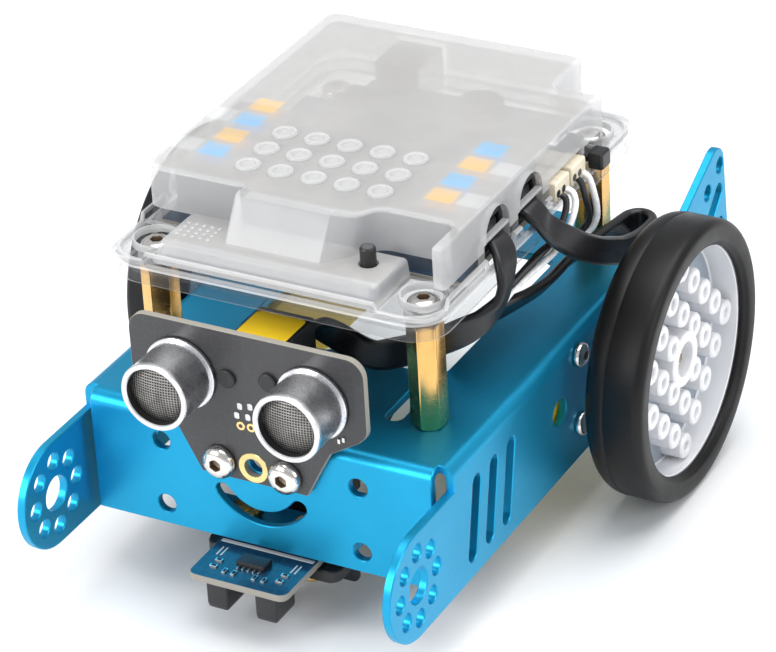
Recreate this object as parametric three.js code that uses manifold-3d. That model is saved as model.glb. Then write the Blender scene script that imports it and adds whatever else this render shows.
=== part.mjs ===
// Educational coding robot: two driven wheels, a ball caster, a folded aluminium chassis,
// a clear controller case on hexagonal posts, a distance sensor and a line sensor.
//
// Units are millimetres, +Z is up, the robot drives towards -Y and its left side is +X.
// Inside `robot` every Y is measured from the outer face of the front plate; the group is
// then shifted so that the origin is the middle of the footprint, on the floor.

import * as THREE from 'three';
import { mergeVertices } from 'three/addons/utils/BufferGeometryUtils.js';
import Module from 'manifold-3d';

const wasm = await Module();
wasm.setup();

// ---------------------------------------------------------------- driving dimensions

const GRID = 8;                 // hole pitch of the construction system
const GAP = 0.3;                // clearance between neighbouring pieces
const SHEET = 2;                // aluminium sheet thickness

const BODY_HALF = 45;           // half width over the side walls
const DECK_TOP = 45.5;          // upper face of the chassis deck
const DECK_REAR = 113;          // rear edge of the deck
const WALL_BOTTOM = 14.7;       // lower edge of the side walls
const FRONT_BOTTOM = 16.4;      // lower edge of the front plate
const FRONT_HALF = 41.5;        // half width of the front plate
const BEND = 3;                 // outer radius of the folds
const EAR_Y = -13.6;            // centre of the round ear
const EAR_Z = 27.2;
const EAR_R = 12.5;
const TAIL_END = 144;           // rearmost point of the tail fins

const AXLE_Y = 83.1;
const WHEEL_R = 32.25;
const AXLE_Z = WHEEL_R;
const TYRE_INNER = 50.5;        // tyre side faces, from the centre line
const TYRE_OUTER = 65;
const RIM_R = 26.3;             // opening of the tyre on its outer side

const POST_X = 32.2;            // brass posts
const POST_Y = [17.8, 97.9];
const POST_LENGTH = 25;
const POST_FLATS = 7;

const CASE_FLOOR = DECK_TOP + POST_LENGTH;
const CASE_HALF = 40;
const CASE_FRONT = 7.2;
const CASE_REAR = 108.5;
const TRAY_TOP = CASE_FLOOR + 4.4;
const COVER_TOP = 89.4;
const WALL = 1.6;               // moulded case wall

const BOARD_Z = 75.6;           // upper face of the controller board
const PCB = 1.6;
const BOSS = 1.5;                // height of the tray's bosses under the case screws
const JACK_Y = [40.2, 56];      // jacks on each side of the controller board
const JACK = { width: 13, depth: 15, height: 11.6, face: 36.5 };

const SENSOR_FACE = -1.9;       // front face of the distance sensor board
const CAN_X = 15.8;
const CAN_Z = 57.6;
const CAN_R = 7.9;
const CAN_FRONT = -13.6;

const LINE_TOP = 14.8;          // upper face of the line sensor board
const BALL_R = 5.5;
const CASTER_Y = 16;

const SIDES = [['left', 1], ['right', -1]];

// ---------------------------------------------------------------- shape helpers

/** A manifold solid from a closed three.js geometry. */
function solid(geometry) {
  const bare = geometry.index ? geometry.toNonIndexed() : geometry.clone();
  bare.deleteAttribute('normal');
  bare.deleteAttribute('uv');
  const merged = mergeVertices(bare, 1e-4);
  return new wasm.Manifold(new wasm.Mesh({
    numProp: 3,
    vertProperties: new Float32Array(merged.attributes.position.array),
    triVerts: new Uint32Array(merged.index.array),
  }));
}

/** A BufferGeometry from a manifold solid. */
function surface(body) {
  const mesh = body.getMesh();
  const geometry = new THREE.BufferGeometry();
  geometry.setAttribute('position', new THREE.BufferAttribute(mesh.vertProperties, 3));
  geometry.setIndex(new THREE.BufferAttribute(mesh.triVerts, 1));
  geometry.computeVertexNormals();
  return geometry;
}

const join = (...parts) => parts.reduce((a, b) => a.add(b));
const cut = (body, ...tools) => tools.reduce((a, b) => a.subtract(b), body);

/** Axis-aligned block between two corners. */
function block([x0, x1], [y0, y1], [z0, z1]) {
  const geometry = new THREE.BoxGeometry(x1 - x0, y1 - y0, z1 - z0);
  geometry.translate((x0 + x1) / 2, (y0 + y1) / 2, (z0 + z1) / 2);
  return solid(geometry);
}

/** Extrudes a shape. plane 'xy' runs along Z, 'yz' along X and 'xz' along Y. */
function slab(shape, plane, from, to, curveSegments = 3) {
  const geometry = new THREE.ExtrudeGeometry(shape, {
    depth: to - from, bevelEnabled: false, curveSegments,
  });
  const turn = new THREE.Matrix4();
  const [X, Y, Z] = [[1, 0, 0], [0, 1, 0], [0, 0, 1]].map((v) => new THREE.Vector3(...v));
  if (plane === 'xy') turn.makeTranslation(0, 0, from);
  if (plane === 'yz') turn.makeBasis(Y, Z, X).setPosition(from, 0, 0);
  if (plane === 'xz') turn.makeBasis(X, Z, Y.clone().negate()).setPosition(0, to, 0);
  geometry.applyMatrix4(turn);
  return solid(geometry);
}

/** Round bar along one axis, centred on the two other coordinates. */
function bar(axis, radius, from, to, u, v, sides = 12, radiusTo = radius) {
  const geometry = new THREE.CylinderGeometry(radiusTo, radius, to - from, sides);
  const middle = (from + to) / 2;
  if (axis === 'x') geometry.rotateZ(-Math.PI / 2).translate(middle, u, v);
  if (axis === 'y') geometry.translate(u, middle, v);
  if (axis === 'z') geometry.rotateX(Math.PI / 2).translate(u, v, middle);
  return solid(geometry);
}

/** Solid of revolution about the X axis: profile points are [radius, x]. */
function turned(profile, y, z, sides = 36) {
  const points = profile.map(([r, x]) => new THREE.Vector2(r, x));
  const geometry = new THREE.LatheGeometry(points, sides);
  geometry.rotateZ(-Math.PI / 2).translate(0, y, z);
  const body = solid(geometry);
  return body;
}

/** Rectangle with rounded corners. */
function roundedRect([x0, x1], [y0, y1], r) {
  const s = new THREE.Shape();
  s.moveTo(x0 + r, y0);
  s.lineTo(x1 - r, y0);
  s.absarc(x1 - r, y0 + r, r, -Math.PI / 2, 0, false);
  s.lineTo(x1, y1 - r);
  s.absarc(x1 - r, y1 - r, r, 0, Math.PI / 2, false);
  s.lineTo(x0 + r, y1);
  s.absarc(x0 + r, y1 - r, r, Math.PI / 2, Math.PI, false);
  s.lineTo(x0, y0 + r);
  s.absarc(x0 + r, y0 + r, r, Math.PI, 1.5 * Math.PI, false);
  return s;
}

/** Slot with round ends between two points. */
function slotShape([x0, y0], [x1, y1], width) {
  const along = Math.atan2(y1 - y0, x1 - x0);
  const s = new THREE.Shape();
  s.absarc(x0, y0, width / 2, along + Math.PI / 2, along + 1.5 * Math.PI, false);
  s.absarc(x1, y1, width / 2, along - Math.PI / 2, along + Math.PI / 2, false);
  return s;
}

/** Polygon from a list of points. */
function polygon(points) {
  return new THREE.Shape(points.map(([x, y]) => new THREE.Vector2(x, y)));
}

/** Mirror of a solid across the centre plane x = 0. */
function mirrored(body) {
  return body.mirror([1, 0, 0]);
}

// ---------------------------------------------------------------- assembly

const robot = new THREE.Group();
robot.position.y = -(EAR_Y - EAR_R + TAIL_END) / 2;

/** Adds one named piece to the robot. */
function add(name, body, { color, roughness = 0.5, metalness = 0, opacity = 1 }) {
  const material = new THREE.MeshStandardMaterial({
    color, roughness, metalness, opacity, transparent: opacity < 1,
  });
  const geometry = body.isBufferGeometry ? body : surface(body);
  const mesh = new THREE.Mesh(geometry, material);
  mesh.name = name;
  robot.add(mesh);
}

const BLUE = { color: 0x1f9fe0, roughness: 0.4, metalness: 0.6 };
const BRASS = { color: 0xd9a860, roughness: 0.3, metalness: 0.9 };
const STEEL = { color: 0xc8c4be, roughness: 0.25, metalness: 0.9 };
const ALUMINIUM = { color: 0xdcdcde, roughness: 0.35, metalness: 0.8 };
const BLACK = { color: 0x151517, roughness: 0.5 };
const RUBBER = { color: 0x1b1b1c, roughness: 0.75 };
const YELLOW = { color: 0xe0be20, roughness: 0.45 };
const WHITE = { color: 0xeeeef0, roughness: 0.4 };
const CREAM = { color: 0xefe4cc, roughness: 0.5 };
const FROSTED = { color: 0xd8d6d4, roughness: 0.35, opacity: 0.6 };
const BOARD_BLUE = { color: 0x14304f, roughness: 0.4 };
const BOARD_BLACK = { color: 0x3a3a3c, roughness: 0.45 };

// ---------------------------------------------------------------- chassis

/** Outline of one side wall, in Y and Z: round ear in front, tail fin behind. */
function wallOutline() {
  const tipY = 137.9;
  const tipZ = 50.9;
  const tipR = 4.2;
  const s = new THREE.Shape();
  s.moveTo(BEND + 0.5, EAR_Z + EAR_R);
  s.lineTo(EAR_Y, EAR_Z + EAR_R);
  s.absarc(EAR_Y, EAR_Z, EAR_R, Math.PI / 2, 1.5 * Math.PI, false);
  s.lineTo(118, WALL_BOTTOM);
  s.lineTo(140, 28);
  s.quadraticCurveTo(TAIL_END, 30.5, TAIL_END, 34);
  s.lineTo(tipY + tipR, tipZ);
  s.absarc(tipY, tipZ, tipR, 0, 0.65 * Math.PI, false);
  s.lineTo(DECK_REAR, DECK_TOP - 2);
  s.lineTo(DECK_REAR, DECK_TOP - BEND - 0.5);
  s.lineTo(BEND + 0.5, DECK_TOP - BEND - 0.5);
  return s;
}

/** Deck and both wall tops as one channel with rounded folds. */
function channelOutline() {
  const inner = BEND - SHEET;
  const s = new THREE.Shape();
  s.moveTo(BODY_HALF, WALL_BOTTOM);
  s.lineTo(BODY_HALF, DECK_TOP - BEND);
  s.absarc(BODY_HALF - BEND, DECK_TOP - BEND, BEND, 0, Math.PI / 2, false);
  s.lineTo(-BODY_HALF + BEND, DECK_TOP);
  s.absarc(-BODY_HALF + BEND, DECK_TOP - BEND, BEND, Math.PI / 2, Math.PI, false);
  s.lineTo(-BODY_HALF, WALL_BOTTOM);
  s.lineTo(-BODY_HALF + SHEET, WALL_BOTTOM);
  s.lineTo(-BODY_HALF + SHEET, DECK_TOP - BEND);
  s.absarc(-BODY_HALF + BEND, DECK_TOP - BEND, inner, Math.PI, Math.PI / 2, true);
  s.lineTo(BODY_HALF - BEND, DECK_TOP - SHEET);
  s.absarc(BODY_HALF - BEND, DECK_TOP - BEND, inner, Math.PI / 2, 0, true);
  s.lineTo(BODY_HALF - SHEET, WALL_BOTTOM);
  return s;
}

/** Front plate folded down from the deck, in Y and Z, with a short flange at its foot. */
function frontOutline() {
  const inner = BEND - SHEET;
  const s = new THREE.Shape();
  s.moveTo(BEND + 4, DECK_TOP);
  s.lineTo(BEND, DECK_TOP);
  s.absarc(BEND, DECK_TOP - BEND, BEND, Math.PI / 2, Math.PI, false);
  s.lineTo(0, FRONT_BOTTOM);
  s.lineTo(SHEET, FRONT_BOTTOM);
  s.lineTo(SHEET, DECK_TOP - BEND);
  s.absarc(BEND, DECK_TOP - BEND, inner, Math.PI, Math.PI / 2, true);
  s.lineTo(BEND + 4, DECK_TOP - SHEET);
  return s;
}

/** Curved slot in the front plate, in X and Z. */
function curvedSlot() {
  const middle = 35.2;
  const radius = 11.4;
  const half = 1.8;
  const from = 1.5 * Math.PI - 0.95;
  const to = 1.5 * Math.PI + 0.95;
  const end = (angle) => [radius * Math.cos(angle), middle + radius * Math.sin(angle)];
  const s = new THREE.Shape();
  s.absarc(0, middle, radius + half, from, to, false);
  s.absarc(...end(to), half, to, to + Math.PI, false);
  s.absarc(0, middle, radius - half, to, from, true);
  s.absarc(...end(from), half, from + Math.PI, from + 2 * Math.PI, false);
  return s;
}

/** Holes through both side walls, each as a bar or slot along X. */
function wallHoles() {
  const across = [-BODY_HALF - 1, BODY_HALF + 1];
  const hole = (y, z, diameter, sides = 10) => bar('x', diameter / 2, ...across, y, z, sides);
  const slot = (from, to, width) => slab(slotShape(from, to, width), 'yz', ...across, 2);
  const ring = Array.from({ length: 8 }, (_, i) => (i * Math.PI) / 4)
    .map((a) => hole(EAR_Y + GRID * Math.cos(a), EAR_Z + GRID * Math.sin(a), 4));
  const slanted = [12, 20, 28].map((y) => slot([y - 1.6, 20.5], [y + 1.6, 36.5], 3.8));
  return [
    ...ring,
    hole(EAR_Y, EAR_Z, 8, 16),
    ...slanted,
    hole(52.9, 31.2, 6.6),
    hole(AXLE_Y, AXLE_Z, 8, 16),
    hole(AXLE_Y - 20.5, AXLE_Z + 8.75, 3.4),
    hole(AXLE_Y - 20.5, AXLE_Z - 8.75, 3.4),
    hole(139.6, 50.2, 4),
    hole(132.7, 46.2, 4),
    hole(139.6, 34.5, 4),
    slot([139, 43.6], [131.5, 36.1], 4),
    hole(124.5, 43, 4),
    hole(124.5, 27, 4),
  ];
}

/** Holes through the deck, along Z. */
function deckHoles() {
  const through = [DECK_TOP - SHEET - 1, DECK_TOP + 1];
  const window = slab(roundedRect([-25.7, 25.7], [36, 92], 3), 'xy', ...through, 2);
  const slots = SIDES.map(([, s]) => slab(slotShape([3 * GRID * s, 17.5], [3 * GRID * s, 28], 4), 'xy', ...through, 2));
  const posts = POST_Y.flatMap((y) => SIDES.map(([, s]) => bar('z', 2.2, ...through, POST_X * s, y, 10)));
  const spare = [-16, 0, 16].map((x) => bar('z', 2, ...through, x, 104, 10));
  const frontSpare = [-GRID, GRID].map((x) => bar('z', 2, ...through, x, 26, 10));
  return [window, ...slots, ...posts, ...spare, ...frontSpare];
}

/** Holes through the front plate, along Y. */
function frontHoles() {
  const through = [-1, SHEET + 1];
  const grid = [[-24, 37.5], [24, 37.5], [-24, 21.5], [24, 21.5]];
  const round = grid.map(([x, z]) => bar('y', 2.2, ...through, x, z, 10));
  const screws = [-GRID, 0, GRID].map((x) => bar('y', 2.2, ...through, x, 37.6, 10));
  return [...round, ...screws, slab(curvedSlot(), 'xz', ...through, 4)];
}

/** Flange under the front plate that carries the line sensor and the caster. */
function footFlange() {
  const plate = slab(roundedRect([-19, 19], [SHEET / 2, 13], 2), 'xy', FRONT_BOTTOM, FRONT_BOTTOM + SHEET, 2);
  return cut(plate, ...[-GRID, GRID].map((x) => bar('z', 2.2, FRONT_BOTTOM - 1, FRONT_BOTTOM + SHEET + 1, x, 6)));
}

function chassis() {
  const channel = slab(channelOutline(), 'xz', BEND + 0.5, DECK_REAR, 2);
  const wall = slab(wallOutline(), 'yz', BODY_HALF - SHEET, BODY_HALF, 6);
  const front = slab(frontOutline(), 'yz', -FRONT_HALF, FRONT_HALF, 2);
  const body = join(channel, wall, mirrored(wall), front);
  return join(cut(body, ...wallHoles(), ...deckHoles(), ...frontHoles()), footFlange());
}

add('chassis', chassis(), BLUE);

// ---------------------------------------------------------------- fasteners and posts

/** Button-head screw along +Z from its head underside at z = 0, head above. */
function buttonScrew(head, headHeight, shank, length, socket) {
  const profile = [[0, -length], [shank, -length], [shank, 0], [head, 0], [head, headHeight * 0.35],
    [head * 0.75, headHeight * 0.8], [head * 0.45, headHeight], [0, headHeight]];
  const geometry = new THREE.LatheGeometry(profile.map(([r, z]) => new THREE.Vector2(r, z)), 10);
  geometry.rotateX(Math.PI / 2);
  const key = bar('z', socket, headHeight * 0.35, headHeight + 1, 0, 0, 6);
  return cut(solid(geometry), key);
}

/** Hexagonal brass post with its lower screw drawn up tight through the deck. */
function post(x, y) {
  const foot = DECK_TOP + GAP / 2;
  const top = CASE_FLOOR - GAP / 2;
  const hexR = POST_FLATS / 2 / Math.cos(Math.PI / 6);
  const hex = bar('z', hexR, foot, top, x, y, 6);
  const bore = bar('z', 2.1, top - 7, top + 1, x, y, 12);
  const neck = bar('z', 1.9, DECK_TOP - SHEET - GAP - 0.5, foot + 1, x, y, 12);
  const head = bar('z', 2.9, DECK_TOP - SHEET - GAP - 2.2, DECK_TOP - SHEET - GAP, x, y, 12, 3.8);
  return join(cut(hex, bore), neck, head);
}

const POSTS = POST_Y.flatMap((y, row) => SIDES.map(([side, s]) => [`${row ? 'rear' : 'front'}_${side}`, POST_X * s, y]));
for (const [where, x, y] of POSTS) {
  add(`post_${where}`, post(x, y), BRASS);
  const screw = buttonScrew(3.6, 2.2, 1.75, 8, 1.25).translate([x, y, CASE_FLOOR + WALL + BOSS + GAP]);
  add(`case_screw_${where}`, screw, STEEL);
}

// ---------------------------------------------------------------- drive

/** Yellow gearbox of one motor, on the +X side. */
function gearbox() {
  const [x0, x1] = [24.2, BODY_HALF - SHEET - GAP];
  const [z0, z1] = [AXLE_Z - 11.3, AXLE_Z + 10.9];
  const rear = AXLE_Y + 11.3;
  const body = slab(roundedRect([47.5, rear], [z0, z1], 2), 'yz', x0, x1, 3);
  const tab = slab(roundedRect([rear - 3, rear + 5], [AXLE_Z - 3, AXLE_Z + 3], 2.5), 'yz', x0 + 7, x0 + 10, 3);
  const bore = bar('x', 3.1, x1 - 6, x1 + 1, AXLE_Y, AXLE_Z, 14);
  const bolts = [-8.75, 8.75].map((dz) => bar('x', 1.9, x0 + 2, x1 + 1, AXLE_Y - 20.5, AXLE_Z + dz, 10));
  const tabHole = bar('x', 1.5, x0, x1, rear + 2.4, AXLE_Z, 10);
  return cut(join(body, tab), bore, ...bolts, tabHole);
}

/** Motor can with two flats and its bearing boss, on the +X side. */
function motorCan() {
  const x = 33.4;
  const can = bar('y', 10, 30.5, 47.5 - GAP, x, AXLE_Z - 0.2, 24);
  const flats = block([x - 7.6, x + 7.6], [29, 48], [AXLE_Z - 11, AXLE_Z + 11]);
  const boss = bar('y', 3, 28.8, 31, x, AXLE_Z - 0.2, 12);
  return join(can.intersect(flats), boss);
}

/** Double-flat output shaft with the wheel's retaining screw in its end, on the +X side. */
function outputShaft() {
  const from = BODY_HALF - SHEET - GAP - 5;
  const to = 58.6;
  const round = bar('x', 2.7, from, to, AXLE_Y, AXLE_Z, 16);
  const flats = block([BODY_HALF + 1, to + 1], [AXLE_Y - 1.85, AXLE_Y + 1.85], [AXLE_Z - 3, AXLE_Z + 3]);
  const inner = block([from - 1, BODY_HALF + 1], [AXLE_Y - 3, AXLE_Y + 3], [AXLE_Z - 3, AXLE_Z + 3]);
  const head = bar('x', 2.4, to + 0.2, to + 1.6, AXLE_Y, AXLE_Z, 12);
  const thread = bar('x', 1, to - 1, to + 1, AXLE_Y, AXLE_Z, 8);
  return join(join(round.intersect(flats), round.intersect(inner)), thread, head);
}

/** Long screw through the wall into the gearbox's inner half, on the +X side. */
function motorBolt(dz) {
  const y = AXLE_Y - 20.5;
  const z = AXLE_Z + dz;
  const pan = bar('x', 2.8, BODY_HALF + GAP, BODY_HALF + 2.1, y, z, 12, 2);
  const shank = bar('x', 1.45, 26.6, BODY_HALF + 1, y, z, 10);
  const key = bar('x', 0.9, BODY_HALF + 1.1, BODY_HALF + 3, y, z, 6);
  return cut(join(pan, shank), key);
}

/** Moulded hub: rim, recessed disc and a field of round tubes, on the +X side. */
function hub() {
  const seat = 27.7;
  const rim = turned([[0, 53], [seat, 53], [seat, 62.6], [seat - 1.6, 62.6], [seat - 1.6, 56], [0, 56]], AXLE_Y, AXLE_Z, 30);
  const pitch = GRID / Math.SQRT2;
  const tubes = [];
  for (let row = -4; row <= 4; row += 1) {
    for (let col = -4; col <= 4; col += 1) {
      const far = Math.hypot(row, col) * pitch;
      if ((row + col) % 2 || far > 23.2 || far < 5) continue;
      tubes.push(bar('x', 3, 55.5, 61.5, AXLE_Y + col * pitch, AXLE_Z + row * pitch, 6));
    }
  }
  const boss = bar('x', 6.5, 55.5, 61.5, AXLE_Y, AXLE_Z, 16);
  const sleeve = bar('x', 5, 48.5, 54, AXLE_Y, AXLE_Z, 16);
  const bore = bar('x', 3, 48, 60, AXLE_Y, AXLE_Z, 16);
  const pocket = bar('x', 4, 58.2, 63, AXLE_Y, AXLE_Z, 16);
  return cut(join(rim, ...tubes, boss, sleeve), bore, pocket);
}

/** Rubber tyre: rounded shoulders outside, two lips that hold the rim, on the +X side. */
function tyre() {
  const [a, b] = [TYRE_INNER, TYRE_OUTER];
  const seat = 28;
  const profile = [
    [RIM_R + 0.4, a], [29.2, a], [31.4, a + 1.4], [WHEEL_R, a + 4.6],
    [WHEEL_R, b - 4.6], [31.4, b - 1.4], [29.4, b], [RIM_R, b - 1.8],
    [RIM_R, 62.9], [seat, 62.9], [seat, 52.7], [RIM_R + 0.4, 52.7], [RIM_R + 0.4, a],
  ];
  return turned(profile, AXLE_Y, AXLE_Z, 36);
}

for (const [side, s] of SIDES) {
  const place = (body) => (s > 0 ? body : mirrored(body));
  add(`gearbox_${side}`, place(gearbox()), YELLOW);
  add(`motor_can_${side}`, place(motorCan()), STEEL);
  add(`output_shaft_${side}`, place(outputShaft()), WHITE);
  add(`motor_bolt_upper_${side}`, place(motorBolt(8.75)), STEEL);
  add(`motor_bolt_lower_${side}`, place(motorBolt(-8.75)), STEEL);
  add(`wheel_hub_${side}`, place(hub()), WHITE);
  add(`tyre_${side}`, place(tyre()), RUBBER);
}

// ---------------------------------------------------------------- controller case

const caseOutline = (inset = 0, r = 8.5) => roundedRect(
  [-CASE_HALF + inset, CASE_HALF - inset],
  [CASE_FRONT + inset, CASE_REAR - inset],
  Math.max(r - inset, 0.8),
);

/** Lower half: a shallow tray that the posts carry. */
function caseTray() {
  const outer = slab(caseOutline(), 'xy', CASE_FLOOR, TRAY_TOP, 3);
  const inner = slab(caseOutline(WALL), 'xy', CASE_FLOOR + WALL, TRAY_TOP + 1, 3);
  const holes = POSTS.map(([, x, y]) => bar('z', 2.2, CASE_FLOOR - 1, CASE_FLOOR + WALL + 3, x, y));
  const bosses = POSTS.map(([, x, y]) => bar('z', 4.2, CASE_FLOOR + 0.5, CASE_FLOOR + WALL + BOSS, x, y, 14));
  return cut(join(cut(outer, inner), ...bosses), ...holes);
}

/** Bay cut out of a front or rear corner of the cover, as an XY shape. */
const cornerBay = (x0, x1, y0, y1) => roundedRect([x0, x1], [y0, y1], 2.5);

/** Outer envelope of the cover, before it is hollowed, grown or shrunk by `inset`. */
function coverEnvelope(inset) {
  const z0 = TRAY_TOP + GAP;
  const top = COVER_TOP - inset;
  const skirt = slab(caseOutline(0.4 + inset), 'xy', z0 - inset, z0 + 3 - inset, 3);
  const main = slab(roundedRect([-38.4 + inset, 38.4 - inset], [24.5 + inset, 107.6 - inset], 4), 'xy', z0 - inset, top, 2);
  const shelf = slab(roundedRect([-29 + inset, 25.5 - inset], [9.6 + inset, 30], 2), 'xy', z0 - inset, 80 - inset, 2);
  const apron = slab(polygon([[13.5 + inset, z0 - inset], [15.3 + inset, 79.6 - inset], [21.8 + inset, top],
    [30, top], [30, z0 - inset]]), 'yz', -14 + inset, 9.5 - inset, 3);
  const gusset = slab(polygon([[9 - inset, 15.4 + inset], [9 - inset, 30], [15 - inset, 30], [15 - inset, 22.2 + inset]]),
    'xy', z0 - inset, top, 3);
  const cheek = slab(roundedRect([35.4 + inset, 38.4 - inset], [16 + inset, 34], 1.2), 'xy', z0 - inset, top, 3);
  return join(skirt, main, shelf, apron, gusset, inset ? main : cheek);
}

/** Upper half: frosted cover with screw bays, raised vents and side openings. */
function caseCover() {
  const z0 = TRAY_TOP + GAP;
  const bays = [
    slab(cornerBay(-50, -29.4, 0, 23.6), 'xy', z0 - 1, 100, 2),
    slab(cornerBay(26, 35, 0, 23.6), 'xy', z0 - 1, 100, 2),
    slab(cornerBay(34, 50, 0, 15.4), 'xy', z0 - 1, 100, 2),
    slab(cornerBay(26.5, 50, 91.8, 120), 'xy', z0 - 1, 100, 2),
  ];
  const bayWalls = [
    slab(cornerBay(-52, -27.9, -2, 25.1), 'xy', z0 - 1, COVER_TOP - WALL, 2),
    slab(cornerBay(24.5, 37, -2, 25.1), 'xy', z0 - 1, COVER_TOP - WALL, 2),
    slab(cornerBay(25, 52, 90.3, 122), 'xy', z0 - 1, COVER_TOP - WALL, 2),
  ];
  const floors = [
    slab(caseOutline(0.4), 'xy', z0, z0 + 1.2, 3).intersect(join(
      block([-41, -27.9], [0, 25.1], [z0, 90]),
      block([24.5, 41], [0, 25.1], [z0, 90]),
      block([25, 41], [90.3, 110], [z0, 90]),
    )),
  ];
  const wells = POSTS.map(([, x, y]) => bar('z', 4.6, z0 - 2, z0 + 4, x, y, 12));
  const hollow = cut(coverEnvelope(WALL), ...bayWalls);
  const arch = bar('x', 5.4, 33, 42, 0, 81.8, 16).intersect(block([33, 42], [-6, 6], [81.8, 90]));
  const leadSlot = block([33, 42], [-6.4, 4.6], [z0 - 1, 80.9]);
  const jackArches = JACK_Y.flatMap((y) => [arch, leadSlot].map((hole) => hole.translate([0, y, 0])))
    .flatMap((hole) => [hole, mirrored(hole)]);
  const plugPort = block([33, 42], [64.6, 80.6], [z0 - 1, 81.6]);
  const switchPort = block([33, 42], [82, 90.2], [z0 - 1, 81.2]);
  const usbPort = block([-20.5, -7.5], [100, 110], [z0 + 0.6, 87]);
  const buttonHole = bar('z', 2.2, 75, 84, 18.6, 19.6, 12);
  const rings = [];
  for (let row = 0; row < 3; row += 1) {
    for (let col = 0; col < 5; col += 1) {
      rings.push(bar('z', 2.9, COVER_TOP - 0.2, 90.2, GRID * (col - 2) - 1, 32.6 + GRID * row, 8));
    }
  }
  const shell = join(cut(cut(coverEnvelope(0), ...bays), hollow), ...floors, ...rings);
  return cut(shell, ...wells, ...jackArches, plugPort, switchPort, usbPort, buttonHole);
}

add('case_tray', caseTray(), FROSTED);
add('case_cover', caseCover(), FROSTED);

/** Controller board with its soldered chips, switch body, button body and USB socket. */
function mainBoard() {
  const z0 = BOARD_Z - PCB;
  const outline = slab(roundedRect([-36.4, 36.4], [26.5, 103.6], 2), 'xy', z0, BOARD_Z, 3);
  const tongue = slab(roundedRect([-24, 23.6], [12, 30], 1.5), 'xy', z0, BOARD_Z, 3);
  const corners = [
    bar('z', 5.2, z0 - 1, BOARD_Z + 1, -POST_X, POST_Y[1], 14),
    block([24.4, 40], [90, 110], [z0 - 1, BOARD_Z + 1]),
  ];
  const chip = block([-6, 6], [62, 74], [BOARD_Z - 0.2, BOARD_Z + 1.6]);
  const buzzer = bar('z', 5.5, BOARD_Z - 0.2, BOARD_Z + 6.5, 8, 92, 18);
  const usb = cut(block([-19.6, -8.4], [93.6, 106], [BOARD_Z - 0.2, BOARD_Z + 10.4]),
    block([-17.8, -10.2], [97, 107], [BOARD_Z + 1.6, BOARD_Z + 8.6]));
  const buttonBody = block([15.6, 21.6], [16.6, 22.6], [BOARD_Z - 0.2, BOARD_Z + 2.4]);
  const switchBody = cut(block([31, 36.4], [81.4, 90], [BOARD_Z - 0.2, BOARD_Z + 4]),
    block([34.6, 38], [83, 89], [BOARD_Z + 0.9, BOARD_Z + 2.9]));
  const header = block([-22, -14], [70, 88], [BOARD_Z - 0.2, BOARD_Z + 7]);
  const seats = [68.6, 76.6].map((y) => block([29, 34.6], [y - 3.2, y + 3.2], [BOARD_Z - 0.2, BOARD_Z + 4.6]));
  return join(cut(join(outline, tongue), ...corners), chip, buzzer, usb, buttonBody, switchBody, header, ...seats);
}

add('main_board', mainBoard(), BOARD_BLUE);

/** Six-way modular jack that opens towards +X, with its back at x = 0. */
function modularJack() {
  const { width, depth, height } = JACK;
  const body = block([-depth, 0], [-width / 2, width / 2], [0, height]);
  const mouth = block([-11, 1], [-4.9, 4.9], [0.9, 7.6]);
  const latch = block([-11, 1], [-2.4, 2.4], [7.5, 9.2]);
  return cut(body, mouth, latch);
}

for (const [side, s] of SIDES) {
  JACK_Y.forEach((y, i) => {
    const jack = s > 0 ? modularJack() : mirrored(modularJack());
    add(`port_jack_${i ? 'rear' : 'front'}_${side}`, jack.translate([JACK.face * s, y, BOARD_Z + GAP]), BLACK);
  });
}

add('button_cap', bar('z', 1.75, BOARD_Z + 3.2, 84, 18.6, 19.6, 16), BLACK);

const SWITCH_Y = 84.4;          // knob at the off end of its travel
const knobStem = block([35.1, 39.4], [SWITCH_Y - 1, SWITCH_Y + 1], [BOARD_Z + 1.3, BOARD_Z + 2.5]);
const knobHead = block([39, 42.6], [SWITCH_Y - 2, SWITCH_Y + 2.2], [BOARD_Z + 0.2, BOARD_Z + 4.2]);
add('switch_knob', join(knobStem, knobHead), BLACK);

// Battery pack held under the tray.
add('battery_pack', slab(roundedRect([-14, 14], [40, 92], 3), 'xy', CASE_FLOOR - GAP - 9, CASE_FLOOR - GAP, 3), BLACK);

// ---------------------------------------------------------------- distance sensor

/** Sensor board outline, in X and Z: wide above, narrow foot below. */
function sensorOutline() {
  const [half, top, waist, foot, footHalf] = [28.2, 69.8, 52, 33.8, 12.8];
  const r = 4;
  const s = new THREE.Shape();
  s.moveTo(-footHalf, foot);
  s.lineTo(footHalf, foot);
  s.lineTo(19, 45.6);
  s.lineTo(half - 1, waist - 1.6);
  s.quadraticCurveTo(half, waist - 0.6, half, waist + 2);
  s.lineTo(half, top - r);
  s.absarc(half - r, top - r, r, 0, Math.PI / 2, false);
  s.lineTo(-half + r, top);
  s.absarc(-half + r, top - r, r, Math.PI / 2, Math.PI, false);
  s.lineTo(-half, waist + 2);
  s.quadraticCurveTo(-half, waist - 0.6, -half + 1, waist - 1.6);
  s.lineTo(-19, 45.6);
  return s;
}

const sensorHoles = [-GRID, 0, GRID].map((x) => bar('y', 2.2, -4, 2, x, 37.6, 14));
add('sensor_board', cut(slab(sensorOutline(), 'xz', SENSOR_FACE, SENSOR_FACE + PCB, 4), ...sensorHoles), BOARD_BLACK);

/** Ultrasonic transducer can, open at the front, with a base flange. */
function transducer(x) {
  const back = SENSOR_FACE - GAP;
  const can = bar('y', CAN_R, CAN_FRONT, back, x, CAN_Z, 24);
  const flange = bar('y', CAN_R + 0.5, back - 0.9, back, x, CAN_Z, 24);
  const mouth = bar('y', CAN_R - 1, CAN_FRONT - 1, CAN_FRONT + 3.2, x, CAN_Z, 24);
  return cut(join(can, flange), mouth);
}

for (const [side, s] of SIDES) add(`transducer_${side}`, transducer(CAN_X * s), ALUMINIUM);

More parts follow.
